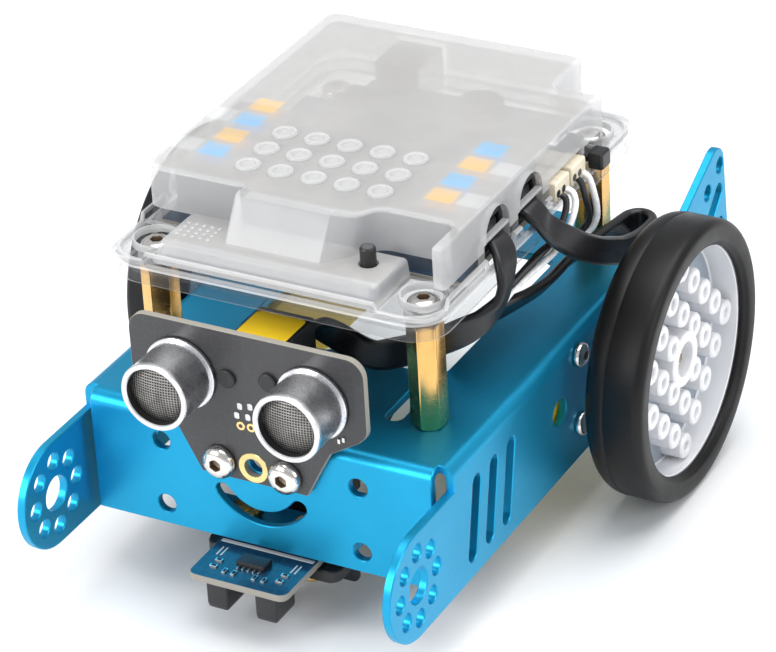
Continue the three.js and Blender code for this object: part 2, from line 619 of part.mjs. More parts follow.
for (const [side, s] of SIDES) {
  const screw = buttonScrew(3.8, 2.4, 1.8, 5.5, 1.25).rotate([90, 0, 0]);
  add(`sensor_screw_${side}`, screw.translate([GRID * s, SENSOR_FACE - GAP, 37.6]), STEEL);
}

/** Jack behind the sensor board; its socket faces backwards. */
function sensorJack() {
  const y0 = SENSOR_FACE + PCB + GAP;
  const body = block([-6.6, 6.6], [y0, 16.4], [53.8, 66]);
  const mouth = block([-4.9, 4.9], [5.4, 17.4], [56.4, 64]);
  return cut(body, mouth);
}

add('sensor_jack', sensorJack(), BLACK);

// ---------------------------------------------------------------- line sensor and caster

const lineHoles = [-GRID, GRID].map((x) => bar('z', 2.2, 12, 16, x, 6, 14));
add('line_sensor_board', cut(slab(roundedRect([-12, 12], [-13, 30], 2), 'xy', LINE_TOP - PCB, LINE_TOP, 3), ...lineHoles), BOARD_BLUE);

for (const [side, s] of SIDES) {
  const x = 6 * s;
  const body = block([x - 2.6, x + 2.6], [-11.2, -3], [5.8, LINE_TOP - PCB - GAP]);
  add(`line_eye_${side}`, body, BLACK);
}

/** Jack on the rear end of the line sensor board; its socket faces backwards. */
const lineJackBody = block([-6.6, 6.6], [16, 31], [LINE_TOP + GAP, LINE_TOP + 11.8]);
add('line_jack', cut(lineJackBody, block([-4.9, 4.9], [19.8, 32], [LINE_TOP + 2.4, LINE_TOP + 10.2])), BLACK);

/** Caster housing: screwed foot with a cup that holds the ball. */
function casterHousing() {
  const top = LINE_TOP - PCB - GAP;
  const foot = slab(roundedRect([-16.5, 16.5], [1.5, 10.5], 3), 'xy', top - 3, top, 3);
  const cup = bar('z', 8.2, 4.2, top, 0, CASTER_Y, 24);
  const bridge = block([-4.2, 4.2], [8, 14], [6.5, top]);
  const skid = block([-16, 16], [10.4, 13], [5.2, top - 0.4]);
  const seat = solid(new THREE.SphereGeometry(BALL_R + GAP + 0.1, 16, 8).translate(0, CASTER_Y, BALL_R));
  const entry = bar('z', BALL_R + 0.1, 0, BALL_R - 0.4, 0, CASTER_Y, 20);
  const holes = [-GRID, GRID].map((x) => bar('z', 2.2, 0, top + 1, x, 6, 14));
  return cut(join(foot, cup, bridge, skid), seat, entry, ...holes);
}

add('caster_housing', casterHousing(), BLACK);
add('caster_ball', solid(new THREE.SphereGeometry(BALL_R, 16, 10).rotateX(Math.PI / 2).translate(0, CASTER_Y, BALL_R)), STEEL);

/** Screw that draws the caster, the line sensor and the flange together, with its nut. */
function footScrew(x) {
  const under = LINE_TOP - PCB - GAP - 3 - GAP;
  const head = bar('z', 2.4, under - 2.2, under, x, 6, 12, 3.6);
  const shank = bar('z', 1.8, under - 0.5, FRONT_BOTTOM + SHEET + GAP + 3, x, 6, 12);
  const nut = bar('z', 3.9, FRONT_BOTTOM + SHEET + GAP, FRONT_BOTTOM + SHEET + GAP + 2.6, x, 6, 6);
  return join(head, shank, nut);
}

for (const [side, s] of SIDES) add(`foot_screw_${side}`, footScrew(GRID * s), BRASS);

// ---------------------------------------------------------------- leads

/** Round wire along a list of route points. */
function wire(points, diameter, steps) {
  const curve = new THREE.CatmullRomCurve3(points.map((p) => new THREE.Vector3(...p)), false, 'centripetal');
  const section = new THREE.Shape();
  section.absarc(0, 0, diameter / 2 / Math.cos(Math.PI / 8), 0, 2 * Math.PI, false);
  return new THREE.ExtrudeGeometry(section, { extrudePath: curve, steps, bevelEnabled: false, curveSegments: 4 });
}

/** Flat lead: each route row is a point and the direction that the lead's width takes there. */
function ribbon(route, width, thickness, steps) {
  const vectors = (from) => route.map((row) => new THREE.Vector3(...row.slice(from, from + 3)));
  const line = new THREE.CatmullRomCurve3(vectors(0), false, 'centripetal');
  const across = new THREE.CatmullRomCurve3(vectors(3), false, 'centripetal');
  const [w, t, c] = [width / 2, thickness / 2, thickness * 0.3];
  const section = [[w, c - t], [w, t - c], [w - c, t], [c - w, t], [-w, t - c], [-w, c - t], [c - w, -t], [w - c, -t]];
  const positions = [];
  for (let i = 0; i <= steps; i += 1) {
    const at = line.getPoint(i / steps);
    const along = line.getTangent(i / steps);
    const side = across.getPoint(i / steps).projectOnPlane(along).normalize();
    const up = side.clone().cross(along);
    for (const [u, v] of section) {
      positions.push(at.clone().addScaledVector(side, u).addScaledVector(up, v));
    }
  }
  const faces = [];
  const sides = section.length;
  for (let i = 0; i < steps; i += 1) {
    for (let k = 0; k < sides; k += 1) {
      const [a, b] = [i * sides + k, i * sides + ((k + 1) % sides)];
      faces.push([a, b + sides, b], [a, a + sides, b + sides]);
    }
  }
  for (let k = 1; k < sides - 1; k += 1) {
    const last = steps * sides;
    faces.push([0, k, k + 1], [last, last + k + 1, last + k]);
  }
  const geometry = new THREE.BufferGeometry().setFromPoints(positions);
  geometry.setIndex(faces.flat());
  return geometry;
}

/** Moulded plug for a modular jack, along +X from x = 0. */
function plug() {
  return join(block([-10.5, -0.6], [-4.5, 4.5], [-2.5, 2.9]), block([-8, -0.4], [-1.6, 1.6], [2.5, 4]));
}

const jackMouth = BOARD_Z + GAP + 3.8;
JACK_Y.forEach((y, i) => {
  add(`port_plug_${i ? 'rear' : 'front'}`, plug().translate([JACK.face, y, jackMouth]), BLACK);
});
add('sensor_plug', plug().rotate([0, 0, 90]).translate([0, 16.4, 59.4]), BLACK);
add('line_plug', plug().rotate([0, 0, 90]).translate([0, 31, LINE_TOP + 5.8]), BLACK);

// Lead from the front jack, down past the case and forward to the distance sensor.
const SENSOR_LEAD = [
  [37.2, 40.2, 79.4, 0, -1, 0],
  [38.8, 39.7, 79, 0, -1, 0],
  [40.5, 38.4, 77.5, 0, -1, -0.1],
  [41.7, 36.6, 75, 0, -1, 0],
  [42, 35.6, 71.6, 0.15, -1, 0.1],
  [41.2, 33.8, 67.8, 0.2, -0.8, 0.5],
  [39.2, 31, 65.2, 0.1, -0.4, 0.9],
  [36, 28.2, 63.2, 0, 0, 1],
  [31.4, 26.2, 60.8, 0, 0, 1],
  [26, 24.8, 58.6, 0, 0, 1],
  [20.4, 25.2, 55.6, 0, 0.1, 1],
  [14.6, 27, 53, 0, 0.3, 1],
  [9, 28.6, 52.8, 0.1, 0.4, 1],
  [4.4, 28.4, 54.8, 0.5, 0.3, 0.9],
  [1.4, 26, 57.6, 0.9, 0.2, 0.5],
  [0.1, 22.8, 59.2, 1, 0, 0.1],
  [0, 19.4, 59.4, 1, 0, 0],
  [0, 16.7, 59.4, 1, 0, 0],
];

// Lead from the rear jack: a wide loop beside the wheel, back under the case, down through
// the deck window and forward to the line sensor.
const LINE_LEAD = [
  [37.2, 55.4, 79.4, 0, 1, 0],
  [38.8, 55.3, 79, 0, 1, 0.1],
  [40.6, 55.6, 77.2, -0.2, 0.9, 0.3],
  [41.6, 56.6, 75, -0.3, 0.8, 0.5],
  [43.4, 58.8, 72, -0.2, 0.6, 0.8],
  [45.2, 63.8, 67.6, 0, 0.5, 0.9],
  [46.2, 70.8, 62.9, 0, 0.4, 0.9],
  [46.4, 78, 59.2, 0, 0.3, 1],
  [46.4, 83.6, 56.6, 0, 0.2, 1],
  [46.6, 90.8, 54.6, 0, 0.1, 1],
  [46.2, 98, 53.9, 0, 0, 1],
  [43.4, 102.6, 53.6, 0, 0, 1],
  [40, 99, 53.8, 0.1, 0, 1],
  [38, 90, 54.4, 0.4, 0, 0.9],
  [36.4, 81.2, 55, 0.6, 0, 0.8],
  [36, 73.6, 55, 0.65, 0, 0.76],
  [35.6, 66.6, 54.4, 0.65, 0, 0.76],
  [34.6, 58.6, 55, 0.65, 0, 0.76],
  [32.6, 52.8, 55.1, 0.6, 0, 0.8],
  [28, 49.4, 52.8, 0.6, -0.3, 0.7],
  [22.5, 48.8, 48.5, 0.2, -1, 0.1],
  [17, 49, 42.6, 0, -1, 0],
  [11.4, 49, 35.6, 0, -1, 0],
  [6.4, 48, 28.8, -0.2, -1, 0],
  [2.6, 45, 23.8, -0.8, -0.4, 0.4],
  [0.6, 40.6, 21.2, -1, 0, 0.1],
  [0, 36, 20.6, -1, 0, 0],
  [0, 31.2, 20.6, -1, 0, 0],
];

add('sensor_lead', ribbon(SENSOR_LEAD, 6.4, 2.2, 30), BLACK);
add('line_lead', ribbon(LINE_LEAD, 6.4, 2.2, 46), BLACK);

/** Two-way plug housing on the controller board, and where its wires leave it. */
const MOTOR_PLUG_Y = { right: 68.6, left: 76.6 };
for (const [side, y] of Object.entries(MOTOR_PLUG_Y)) {
  const body = block([34.6 + GAP, 39.7], [y - 3.4, y + 3.4], [BOARD_Z + 0.2, BOARD_Z + 4.8]);
  add(`motor_plug_${side}`, body, CREAM);
}

// Wire pairs from the plugs down into the chassis, to the motor cans.
const MOTOR_WIRES = {
  left_black: [
    [40.4, 74.4, 77.6], [41.5, 74.2, 76.4], [42, 74.6, 73.2], [42.1, 75.6, 70], [41.9, 76.3, 66.9],
    [40.6, 75.8, 64.4], [38.4, 72.6, 63.8], [37, 67.6, 64.4], [36.6, 62, 64.6], [36.2, 56, 63.6],
    [35.2, 50, 61.6], [33, 44.6, 58.8], [29.6, 40.4, 55.4], [25.4, 38.4, 51.4], [22, 38.4, 46.8],
    [20.2, 38.2, 42], [20, 36, 37.8], [21.6, 32.6, 34.8], [25, 29.6, 33], [29.2, 29.4, 32.4],
  ],
  left_white: [
    [40.4, 77.2, 77.6], [41.9, 77, 76.6], [42.8, 77.2, 73.2], [43, 78, 69.6], [42.6, 78.4, 66],
    [41, 77.6, 63], [38.2, 74.2, 61.6], [36, 69, 62], [35, 63, 62.2], [34.4, 57, 61.4],
    [33.6, 51.4, 60.2], [31.4, 46, 57.6], [28.4, 42.4, 54.4], [25, 41.2, 50.4], [21.8, 41.2, 46.4],
    [18.6, 41.4, 41.6], [17.4, 39, 37], [18.2, 34.6, 33.4], [21, 30.6, 30.6], [25, 28.4, 29.6],
    [29.2, 29.2, 29.4],
  ],
  right_black: [
    [40.4, 66.2, 77.6], [41.6, 66, 76.8], [42, 64.8, 74.6], [41.8, 62.4, 72], [41, 59.2, 69.4],
    [39.6, 55.4, 67.4], [38.2, 51, 65.6], [36.6, 46.6, 63.6], [34, 42.8, 61], [29.8, 40.2, 57.8],
    [24, 38.6, 54.8], [17, 38.4, 51.8], [9, 38.4, 48.4], [1, 38.4, 45], [-7, 38, 42],
    [-14, 36, 39.2], [-20, 32.8, 36.2], [-24.8, 29.8, 33.6], [-29.2, 29.4, 32.4],
  ],
  right_white: [
    [40.4, 69, 77.6], [42, 68.8, 77], [42.9, 67.8, 74.6], [42.8, 65, 71.2], [41.8, 61.4, 67.6],
    [40, 57.2, 65.4], [38.2, 52.6, 63.8], [36.9, 48.2, 62.4], [34.8, 43.6, 58.8], [30.8, 38.6, 54.8],
    [25, 36.2, 51.6], [18, 37.6, 48.4], [10, 39.4, 45.2], [2, 39.4, 42], [-6, 37, 39],
    [-12.6, 34, 36], [-18, 30.8, 32.6], [-22.6, 28.8, 30.4], [-29.2, 29.2, 29.4],
  ],
};

for (const [name, route] of Object.entries(MOTOR_WIRES)) {
  add(`motor_wire_${name}`, wire(route, 1.5, 22), name.endsWith('white') ? WHITE : BLACK);
}

export default robot;
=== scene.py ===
import logging
import math
from dataclasses import dataclass, field
from enum import Enum
from typing import Callable, Iterable, Sequence

import bmesh
import bpy
import numpy as np
from mathutils import Matrix, Vector
from mathutils.geometry import tessellate_polygon


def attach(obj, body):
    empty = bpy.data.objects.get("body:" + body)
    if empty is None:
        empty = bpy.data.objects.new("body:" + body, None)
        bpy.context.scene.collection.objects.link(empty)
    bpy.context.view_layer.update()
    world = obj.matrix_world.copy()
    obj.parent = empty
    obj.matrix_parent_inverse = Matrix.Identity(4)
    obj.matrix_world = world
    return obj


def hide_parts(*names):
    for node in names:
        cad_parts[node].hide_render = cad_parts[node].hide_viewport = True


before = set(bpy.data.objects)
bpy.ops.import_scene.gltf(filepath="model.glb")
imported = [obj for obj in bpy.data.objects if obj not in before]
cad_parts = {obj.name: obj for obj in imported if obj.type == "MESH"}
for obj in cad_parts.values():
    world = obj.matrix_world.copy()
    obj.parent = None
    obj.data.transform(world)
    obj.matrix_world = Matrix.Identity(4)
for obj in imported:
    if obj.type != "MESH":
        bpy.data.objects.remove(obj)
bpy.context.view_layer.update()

log = logging.getLogger("robot")

MM = 0.001
GRID = 8.0  # hole pitch of the construction system, in millimetres
FRONT = -58.95  # where the front plate's outer face stands along Y, in millimetres
DECK = 45.5  # upper face of the chassis deck
POST_X, POST_Y = 32.2, (17.8, 97.9)
AXLE = (83.1, 32.25)  # Y and Z of the wheels' axis
EAR = (-13.6, 27.2)  # Y and Z of the middle of each front ear
BOLT_BACK, BOLT_RISE = 20.5, 8.75  # from the axle to each motor bolt, along Y and Z
SCREW_HOLE = 2.2  # radius of a clearance hole
SENSOR_SCREW_Z = 37.6
FOOT_Y = 6.0  # where the line sensor's screws stand
BUTTON = (18.6, 19.6)
PORT_X = 27.6  # middle of the port squares on the case
CASE_FLOOR = 70.5
TRAY_TOP = 74.9
BOSS = 1.5  # height of the tray's bosses under the case screws
BOARD = 75.6
COVER_TOP = 89.4
JACK_Y = (40.2, 56.0)
SENSOR_FACE = -1.9
LINE_TOP = 14.8
SIDES = (("left", 1), ("right", -1))
CORNERS = [(f"{row}_{side}", sign, y) for row, y in zip(("front", "rear"), POST_Y) for side, sign in SIDES]


class Body(str, Enum):
    """Rigid groups of the robot."""

    FRAME = "robot_frame"
    WHEEL_LEFT = "wheel_left"
    WHEEL_RIGHT = "wheel_right"
    CASTER = "caster_ball"
    BUTTON = "button"
    SWITCH = "power_switch"


class Axis(int, Enum):
    """Direction that a turned or stacked shape grows along."""

    X = 0
    Y = 1
    Z = 2


def place(points: np.ndarray) -> np.ndarray:
    """Turn millimetres measured from the front plate into metres in the row frame."""
    return (np.asarray(points, float) + (0.0, FRONT, 0.0)) * MM


# ---------------------------------------------------------------------------- shader maths


class Value:
    """A socket of one number, with the arithmetic that the finishes use."""

    def __init__(self, graph: "Graph", socket: bpy.types.NodeSocket) -> None:
        """Keep the graph and the socket."""
        self.graph, self.socket = graph, socket

    def _do(self, operation: str, *operands: object) -> "Value":
        """Add one Math node.

        Args:
            operation: the Math node's operation.
            operands: sockets or numbers, in order.

        Returns:
            The node's result.
        """
        return self.graph.value("ShaderNodeMath", {"operation": operation}, dict(enumerate(operands)))

    def __add__(self, other: object) -> "Value":
        """Sum."""
        return self._do("ADD", self, other)

    def __mul__(self, other: object) -> "Value":
        """Product."""
        return self._do("MULTIPLY", self, other)

    __radd__, __rmul__ = __add__, __mul__

    def __sub__(self, other: object) -> "Value":
        """Difference."""
        return self._do("SUBTRACT", self, other)

    def __rsub__(self, other: object) -> "Value":
        """Difference the other way round."""
        return self._do("SUBTRACT", other, self)

    def __gt__(self, other: object) -> "Value":
        """1 where this is greater, else 0."""
        return self._do("GREATER_THAN", self, other)

    def __abs__(self) -> "Value":
        """Size without sign."""
        return self._do("ABSOLUTE", self)

    def maximum(self, other: object) -> "Value":
        """The larger of the two."""
        return self._do("MAXIMUM", self, other)

    def ramp(self) -> "Value":
        """The value kept between 0 and 1."""
        return self._do("MINIMUM", self.maximum(0.0), 1.0)

    def fold(self, pitch: float) -> "Value":
        """Distance to the nearest multiple of pitch, from 0 to half a pitch."""
        return self._do("PINGPONG", self, pitch / 2)


class Graph:
    """Node tree of one material, with its Principled shader."""

    def __init__(self, name: str) -> None:
        """Start an empty material of that name."""
        self.material = bpy.data.materials.new(name)
        self.material.use_nodes = True
        self.tree = self.material.node_tree
        self.tree.nodes.clear()
        self.shader = self.add("ShaderNodeBsdfPrincipled", {}, {})
        output = self.add("ShaderNodeOutputMaterial", {}, {})
        self.tree.links.new(self.shader.outputs[0], output.inputs[0])
        self.coordinates = self.add("ShaderNodeTexCoord", {}, {})

    def add(self, kind: str, settings: dict[str, object], inputs: dict[object, object]) -> bpy.types.Node:
        """Create a node.

        Args:
            kind: the node's type.
            settings: attributes, or a ramp's stops under "stops".
            inputs: socket names or numbers, with values, sockets or Values.

        Returns:
            The node.
        """
        node = self.tree.nodes.new(kind)
        for key, setting in settings.items():
            if key == "stops":
                ramp = node.color_ramp
                for (at, shade), stop in zip(setting, list(ramp.elements) + [None] * 9):
                    stop = stop or ramp.elements.new(at)
                    stop.position, stop.color = at, shade
            else:
                setattr(node, key, setting)
        for key, given in inputs.items():
            self.feed(node.inputs[key], given)
        return node

    def feed(self, socket: bpy.types.NodeSocket, given: object) -> None:
        """Link or set one input socket."""
        if isinstance(given, Value):
            given = given.socket
        if isinstance(given, bpy.types.NodeSocket):
            self.tree.links.new(given, socket)
        else:
            socket.default_value = given

    def value(self, kind: str, settings: dict[str, object], inputs: dict[object, object], out: object = 0) -> Value:
        """Create a node and wrap one of its outputs."""
        return Value(self, self.add(kind, settings, inputs).outputs[out])

    def points(self, stretch: Sequence[float] = (1, 1, 1), source: str = "Object") -> bpy.types.NodeSocket:
        """Coordinates in millimetres, stretched by a factor on each axis."""
        scale = [1000.0 * s if source == "Object" else s for s in stretch]
        node = self.add("ShaderNodeMapping", {}, {"Vector": self.coordinates.outputs[source], "Scale": scale})
        return node.outputs[0]

    def axis(self, index: int, source: str = "Object") -> Value:
        """One coordinate, in millimetres for Object."""
        return self.value("ShaderNodeSeparateXYZ", {}, {0: self.points(source=source)}, index)

    def noise(self, size: float, detail: float = 3, stretch: Sequence[float] = (1, 1, 1)) -> Value:
        """Cloudy noise from 0 to 1 with features of about that size in millimetres."""
        inputs = {"Vector": self.points(stretch), "Scale": 1.0 / size, "Detail": detail}
        return self.value("ShaderNodeTexNoise", {}, inputs)

    def mix(self, factor: object, dark: object, light: object) -> bpy.types.NodeSocket:
        """Mix two colours."""
        settings = {"data_type": "RGBA", "clamp_factor": True}
        return self.add("ShaderNodeMix", settings, {0: factor, 6: dark, 7: light}).outputs[2]

    def bump(self, height: Value, distance: float, strength: float = 1.0) -> None:
        """Roughen the surface by a height, with a distance in millimetres."""
        inputs = {"Height": height, "Distance": distance * MM, "Strength": strength}
        self.feed(self.shader.inputs["Normal"], self.add("ShaderNodeBump", {}, inputs).outputs[0])

    def set(self, **inputs: object) -> None:
        """Feed the shader's sockets; underscores stand for spaces."""
        for name, given in inputs.items():
            self.feed(self.shader.inputs[name.replace("_", " ")], given)


Colour = tuple[float, float, float]
AMBER, SKY, PEARL = (0.88, 0.60, 0.27), (0.30, 0.57, 0.84), (0.66, 0.66, 0.66)
PATCH_HALF = 3.2  # half size of a tinted square, in millimetres


def rgba(colour: Colour, gain: float = 1.0) -> tuple[float, float, float, float]:
    """A colour with full alpha, made lighter or darker by a gain."""
    return (colour[0] * gain, colour[1] * gain, colour[2] * gain, 1.0)


@dataclass(frozen=True)
class Finish:
    """What every finish has: a name and the record's material slot."""

    name: str
    slot: str
    colour: Colour
    roughness: float = 0.4

    def make(self) -> bpy.types.Material:
        """Build the material, once for each finish."""
        found = bpy.data.materials.get(self.name)
        if found:
            return found
        graph = Graph(self.name)
        self.paint(graph)
        return graph.material

    def paint(self, graph: Graph) -> None:
        """Dress the shader: cloudy colour and a slightly uneven sheen."""
        cloud = graph.noise(6.0)
        graph.set(
            Base_Color=graph.mix(cloud, rgba(self.colour, 0.93), rgba(self.colour, 1.05)),
            Roughness=self.roughness + (cloud - 0.5) * 0.1,
        )


@dataclass(frozen=True)
class Anodised(Finish):
    """Dyed, bead-blasted aluminium sheet."""

    metallic: float = 0.75

    def paint(self, graph: Graph) -> None:
        """Fine blasted grain under the dye, cloudy sheen, and a few rubbed hairlines."""
        grain = graph.noise(0.22, 4)
        cloud = graph.noise(14.0, 3)
        rubbed = graph.noise(1.1, 5, (1.0, 0.06, 1.0))
        tone = cloud * 0.7 + grain * 0.3
        graph.set(
            Base_Color=graph.mix(tone, rgba(self.colour, 0.86), rgba(self.colour, 1.14)),
            Roughness=self.roughness + (rubbed - 0.5) * 0.16 + (grain - 0.5) * 0.12,
            Metallic=self.metallic,
        )
        graph.bump(grain, 0.012, 0.6)


@dataclass(frozen=True)
class Turned(Finish):
    """Bare machined or drawn metal, with tool lines across one axis."""

    lines: tuple[float, float, float] = (1, 1, 12)

    def paint(self, graph: Graph) -> None:
        """Tool lines as narrow bands of noise, with tarnish in broad patches."""
        line = graph.noise(0.9, 3, self.lines)
        patch = graph.noise(3.5, 4)
        graph.set(
            Base_Color=graph.mix(patch, rgba(self.colour, 0.78), rgba(self.colour, 1.08)),
            Roughness=self.roughness + (line - 0.5) * 0.2 + (patch - 0.5) * 0.1,
            Metallic=1.0,
        )
        graph.bump(line, 0.01, 0.5)


@dataclass(frozen=True)
class Moulded(Finish):
    """Injection-moulded plastic, with the tool's spark-eroded grain."""

    grain: float = 0.35
    depth: float = 0.02
    coat: float = 0.0

    def paint(self, graph: Graph) -> None:
        """Grain as fine noise bump, flow marks as broad colour drift."""
        grain = graph.noise(self.grain, 3)
        flow = graph.noise(9.0, 2)
        graph.set(
            Base_Color=graph.mix(flow, rgba(self.colour, 0.9), rgba(self.colour, 1.06)),
            Roughness=self.roughness + (flow - 0.5) * 0.12 + (grain - 0.5) * 0.08,
            Coat_Weight=self.coat,
        )
        graph.bump(grain, self.depth, 0.7)


@dataclass(frozen=True)
class Rubber(Finish):
    """Smooth moulded tyre rubber with dust in its pores."""

    def paint(self, graph: Graph) -> None:
        """Pores as fine bump, dust as pale patches, scuffs as streaks round the tread."""
        pores = graph.noise(0.3, 4)
        dust = graph.noise(5.0, 5)
        scuff = graph.noise(2.0, 4, (3.0, 0.4, 0.4))
        dusty = graph.mix(dust * 0.55 + scuff * 0.25, rgba(self.colour, 0.75), rgba(self.colour, 1.7))
        graph.set(Base_Color=dusty, Roughness=self.roughness + (dust - 0.5) * 0.16 + (scuff - 0.5) * 0.1,
                  Specular_IOR_Level=0.26)
        graph.bump(pores, 0.018, 0.6)


@dataclass(frozen=True)
class Frosted(Finish):
    """Clear moulding with a matt face; stickers that touch its underside show as soft tinted patches."""

    alpha: float = 0.6
    patches: tuple[tuple[float, float, Colour], ...] = ()

    def paint(self, graph: Graph) -> None:
        """Cloudy alpha, and a tint where the distance to a patch's centre is under its half width on both axes."""
        cloud = graph.noise(12.0, 3)
        grain = graph.noise(0.4, 3)
        tone = graph.mix(cloud, rgba(self.colour, 0.96), rgba(self.colour, 1.02))
        alpha = self.alpha + (cloud - 0.5) * 0.06
        x, y = graph.axis(0), graph.axis(1)
        for at_x, at_y, tint in self.patches:
            across = (PATCH_HALF + 0.5 - abs(x - at_x)).ramp()
            along = (PATCH_HALF + 0.1 - abs(y - (at_y + FRONT))).ramp()
            tone = graph.mix(across * along * 0.85, tone, rgba(tint))
        if self.patches:
            alpha = alpha - abs(graph.noise(26.0, 1) - 0.5) * 0.35
        graph.set(Base_Color=tone, Roughness=self.roughness + (cloud - 0.5) * 0.1, Alpha=alpha)
        graph.bump(grain, 0.008, 0.5)
        graph.material.surface_render_method = "DITHERED"


@dataclass(frozen=True)
class CircuitBoard(Finish):
    """Solder mask over copper: straight tracks and round vias stand up a little."""

    tracks: float = 0.12

    def paint(self, graph: Graph) -> None:
        """Tracks as blocky cells whose edges read as copper runs under the mask."""
        cells = {"feature": "DISTANCE_TO_EDGE"}
        runs = graph.value("ShaderNodeTexVoronoi", cells, {"Vector": graph.points(), "Scale": 0.42, "Randomness": 0.55})
        track = 1.0 - (runs > self.tracks)
        weave = graph.noise(0.5, 2)
        tone = weave * 0.35 + track * 0.5
        graph.set(
            Base_Color=graph.mix(tone, rgba(self.colour, 0.85), rgba(self.colour, 1.5)),
            Roughness=self.roughness + (weave - 0.5) * 0.12,
            Coat_Weight=0.2,
        )
        graph.bump(track + weave * 0.15, 0.03, 0.5)


@dataclass(frozen=True)
class WireMesh(Finish):
    """Woven grille of a transducer: bright wires over a dark cup."""

    pitch: float = 0.62

    def paint(self, graph: Graph) -> None:
        """Two sets of ridges, half a pitch apart; only their crests are metal."""
        half = self.pitch / 2
        ridge = (half - graph.axis(0).fold(self.pitch)).maximum(half - graph.axis(2).fold(self.pitch))
        crest = ridge * (2.0 / self.pitch)
        wire = crest > 0.66
        worn = graph.noise(2.5, 3)
        metal = graph.mix(worn, rgba(self.colour, 0.18), rgba(self.colour, 0.85))
        graph.set(
            Base_Color=graph.mix(wire, (0.006, 0.006, 0.007, 1), metal),
            Roughness=0.75 - wire * 0.35,
            Metallic=wire * 0.9,
        )
        graph.bump(crest, 0.12, 0.9)


@dataclass(frozen=True)
class Sheath(Finish):
    """Flexible lead cover, ribbed lengthways between its cores."""

    ribs: float = 6.0

    def paint(self, graph: Graph) -> None:
        """Ribs from the width coordinate of the lead's own map, dull rubbed patches on top."""
        across = graph.axis(0, "UV")
        rib = abs((across * self.ribs).fold(1.0) * 2.0 - 0.5)
        rubbed = graph.noise(1.6, 4)
        graph.set(
            Base_Color=graph.mix(rubbed, rgba(self.colour, 0.7), rgba(self.colour, 1.6)),
            Roughness=self.roughness + (rubbed - 0.5) * 0.16,
        )
        graph.bump(rib, 0.12, 0.5)


BLUE = Anodised("blue anodised sheet", "blue_metal", (0.010, 0.33, 0.58), 0.36)
BRASS = Turned("machined brass", "brass", (0.82, 0.50, 0.17), 0.24)
STEEL = Turned("bright steel", "steel", (0.78, 0.75, 0.71), 0.16)
# A darker copy of the screw metal for the hex sockets: painted shade in the recess.
SOCKET_PAINTED_SHADE = Turned("socket steel painted shade", "steel", (0.34, 0.27, 0.21), 0.45)
CAN = Turned("satin aluminium", "aluminium", (0.82, 0.82, 0.84), 0.26, (1, 10, 1))
LIP = Turned("polished aluminium lip", "aluminium", (0.78, 0.78, 0.79), 0.3, (1, 6, 1))
MOTOR = Turned("motor steel", "steel", (0.6, 0.6, 0.61), 0.3, (1, 8, 1))
MESH = WireMesh("woven grille", "aluminium", (0.55, 0.53, 0.50))
RUBBER = Rubber("tyre rubber", "tyre_rubber", (0.0045, 0.0044, 0.0046), 0.42)
HUB = Moulded("white hub plastic", "white_plastic", (0.84, 0.84, 0.86), 0.3, 0.5, 0.01, 0.2)
# The hub's web is the same white plastic; its grey-blue colour is painted shade.
HUB_WEB_PAINTED_SHADE = Moulded("hub web painted shade", "white_plastic", (0.30, 0.35, 0.41), 0.42)
YELLOW = Moulded("yellow gearbox plastic", "yellow_plastic", (0.95, 0.66, 0.03), 0.38)
BLACK = Moulded("black plastic", "black_plastic", (0.012, 0.012, 0.013), 0.34)
# A lighter copy of the black plastic: a painted highlight on the button cap's top and on the line eyes' lenses.
BLACK_PAINTED_HIGHLIGHT = Moulded("black plastic painted highlight", "black_plastic", (0.09, 0.09, 0.095), 0.3)
CREAM = Moulded("cream plug plastic", "cream_plastic", (0.86, 0.77, 0.60), 0.42)
LABEL = Moulded("yellow port label", "black_plastic", (0.80, 0.53, 0.012), 0.46, 0.6, 0.01)
STICKER_YELLOW = Moulded("amber port sticker", "cream_plastic", (0.95, 0.55, 0.10), 0.5, 0.6, 0.01)
STICKER_BLUE = Moulded("blue port sticker", "blue_circuit_board", (0.12, 0.42, 0.90), 0.5, 0.6, 0.01)
STICKER_WHITE = Moulded("white port sticker", "white_plastic", (0.66, 0.66, 0.66), 0.5, 0.6, 0.01)
MASK_BLUE = CircuitBoard("blue solder mask", "blue_circuit_board", (0.008, 0.042, 0.09), 0.3)
MASK_BLACK = CircuitBoard("black solder mask", "black_circuit_board", (0.034, 0.034, 0.037), 0.42, 0.03)
CORE = Moulded("cut edge of the board", "black_circuit_board", (0.30, 0.28, 0.24), 0.5)
PRINT = Moulded("white board print", "blue_circuit_board", (0.62, 0.66, 0.68), 0.5)
GOLD = Turned("gold plating", "brass", (0.88, 0.66, 0.30), 0.28)
TIN = Turned("tinned pad", "steel", (0.68, 0.68, 0.66), 0.3)
CHIP = Moulded("chip resin", "black_plastic", (0.018, 0.018, 0.02), 0.5)
FROST_TOP = Frosted(
    "frosted case top", "frosted_plastic", (0.52, 0.51, 0.50), 0.3, 0.66,
    tuple((side * PORT_X, y, tint) for side, first, second in ((-1, AMBER, SKY), (1, SKY, AMBER))
          for y, tint in zip((59.2, 51.9, 43.9, 36.7), (first, second) * 2))
    + tuple((side * 35.0, y, PEARL) for side in (1, -1) for y in (52.0, 37.0)),
)
# The walls take a darker copy of the frosted plastic, painted shade; rims, edges and vents take a brighter copy,
# painted highlight.
FROST_WALL_PAINTED_SHADE = Frosted("frosted case wall painted shade", "frosted_plastic", (0.20, 0.20, 0.21), 0.12, 0.14)
FROST_EDGE_PAINTED_HIGHLIGHT = Frosted("case edge painted highlight", "frosted_plastic", (0.72, 0.72, 0.72), 0.14, 0.46)
SHEATH = Sheath("black lead sheath", "lead_sheath", (0.007, 0.007, 0.008), 0.34)
WIRE_BLACK = Sheath("black wire sheath", "lead_sheath", (0.012, 0.012, 0.013), 0.36, 0.0)
WIRE_WHITE = Sheath("white wire sheath", "white_sheath", (0.80, 0.80, 0.80), 0.4, 0.0)


# ---------------------------------------------------------------------------- surfaces


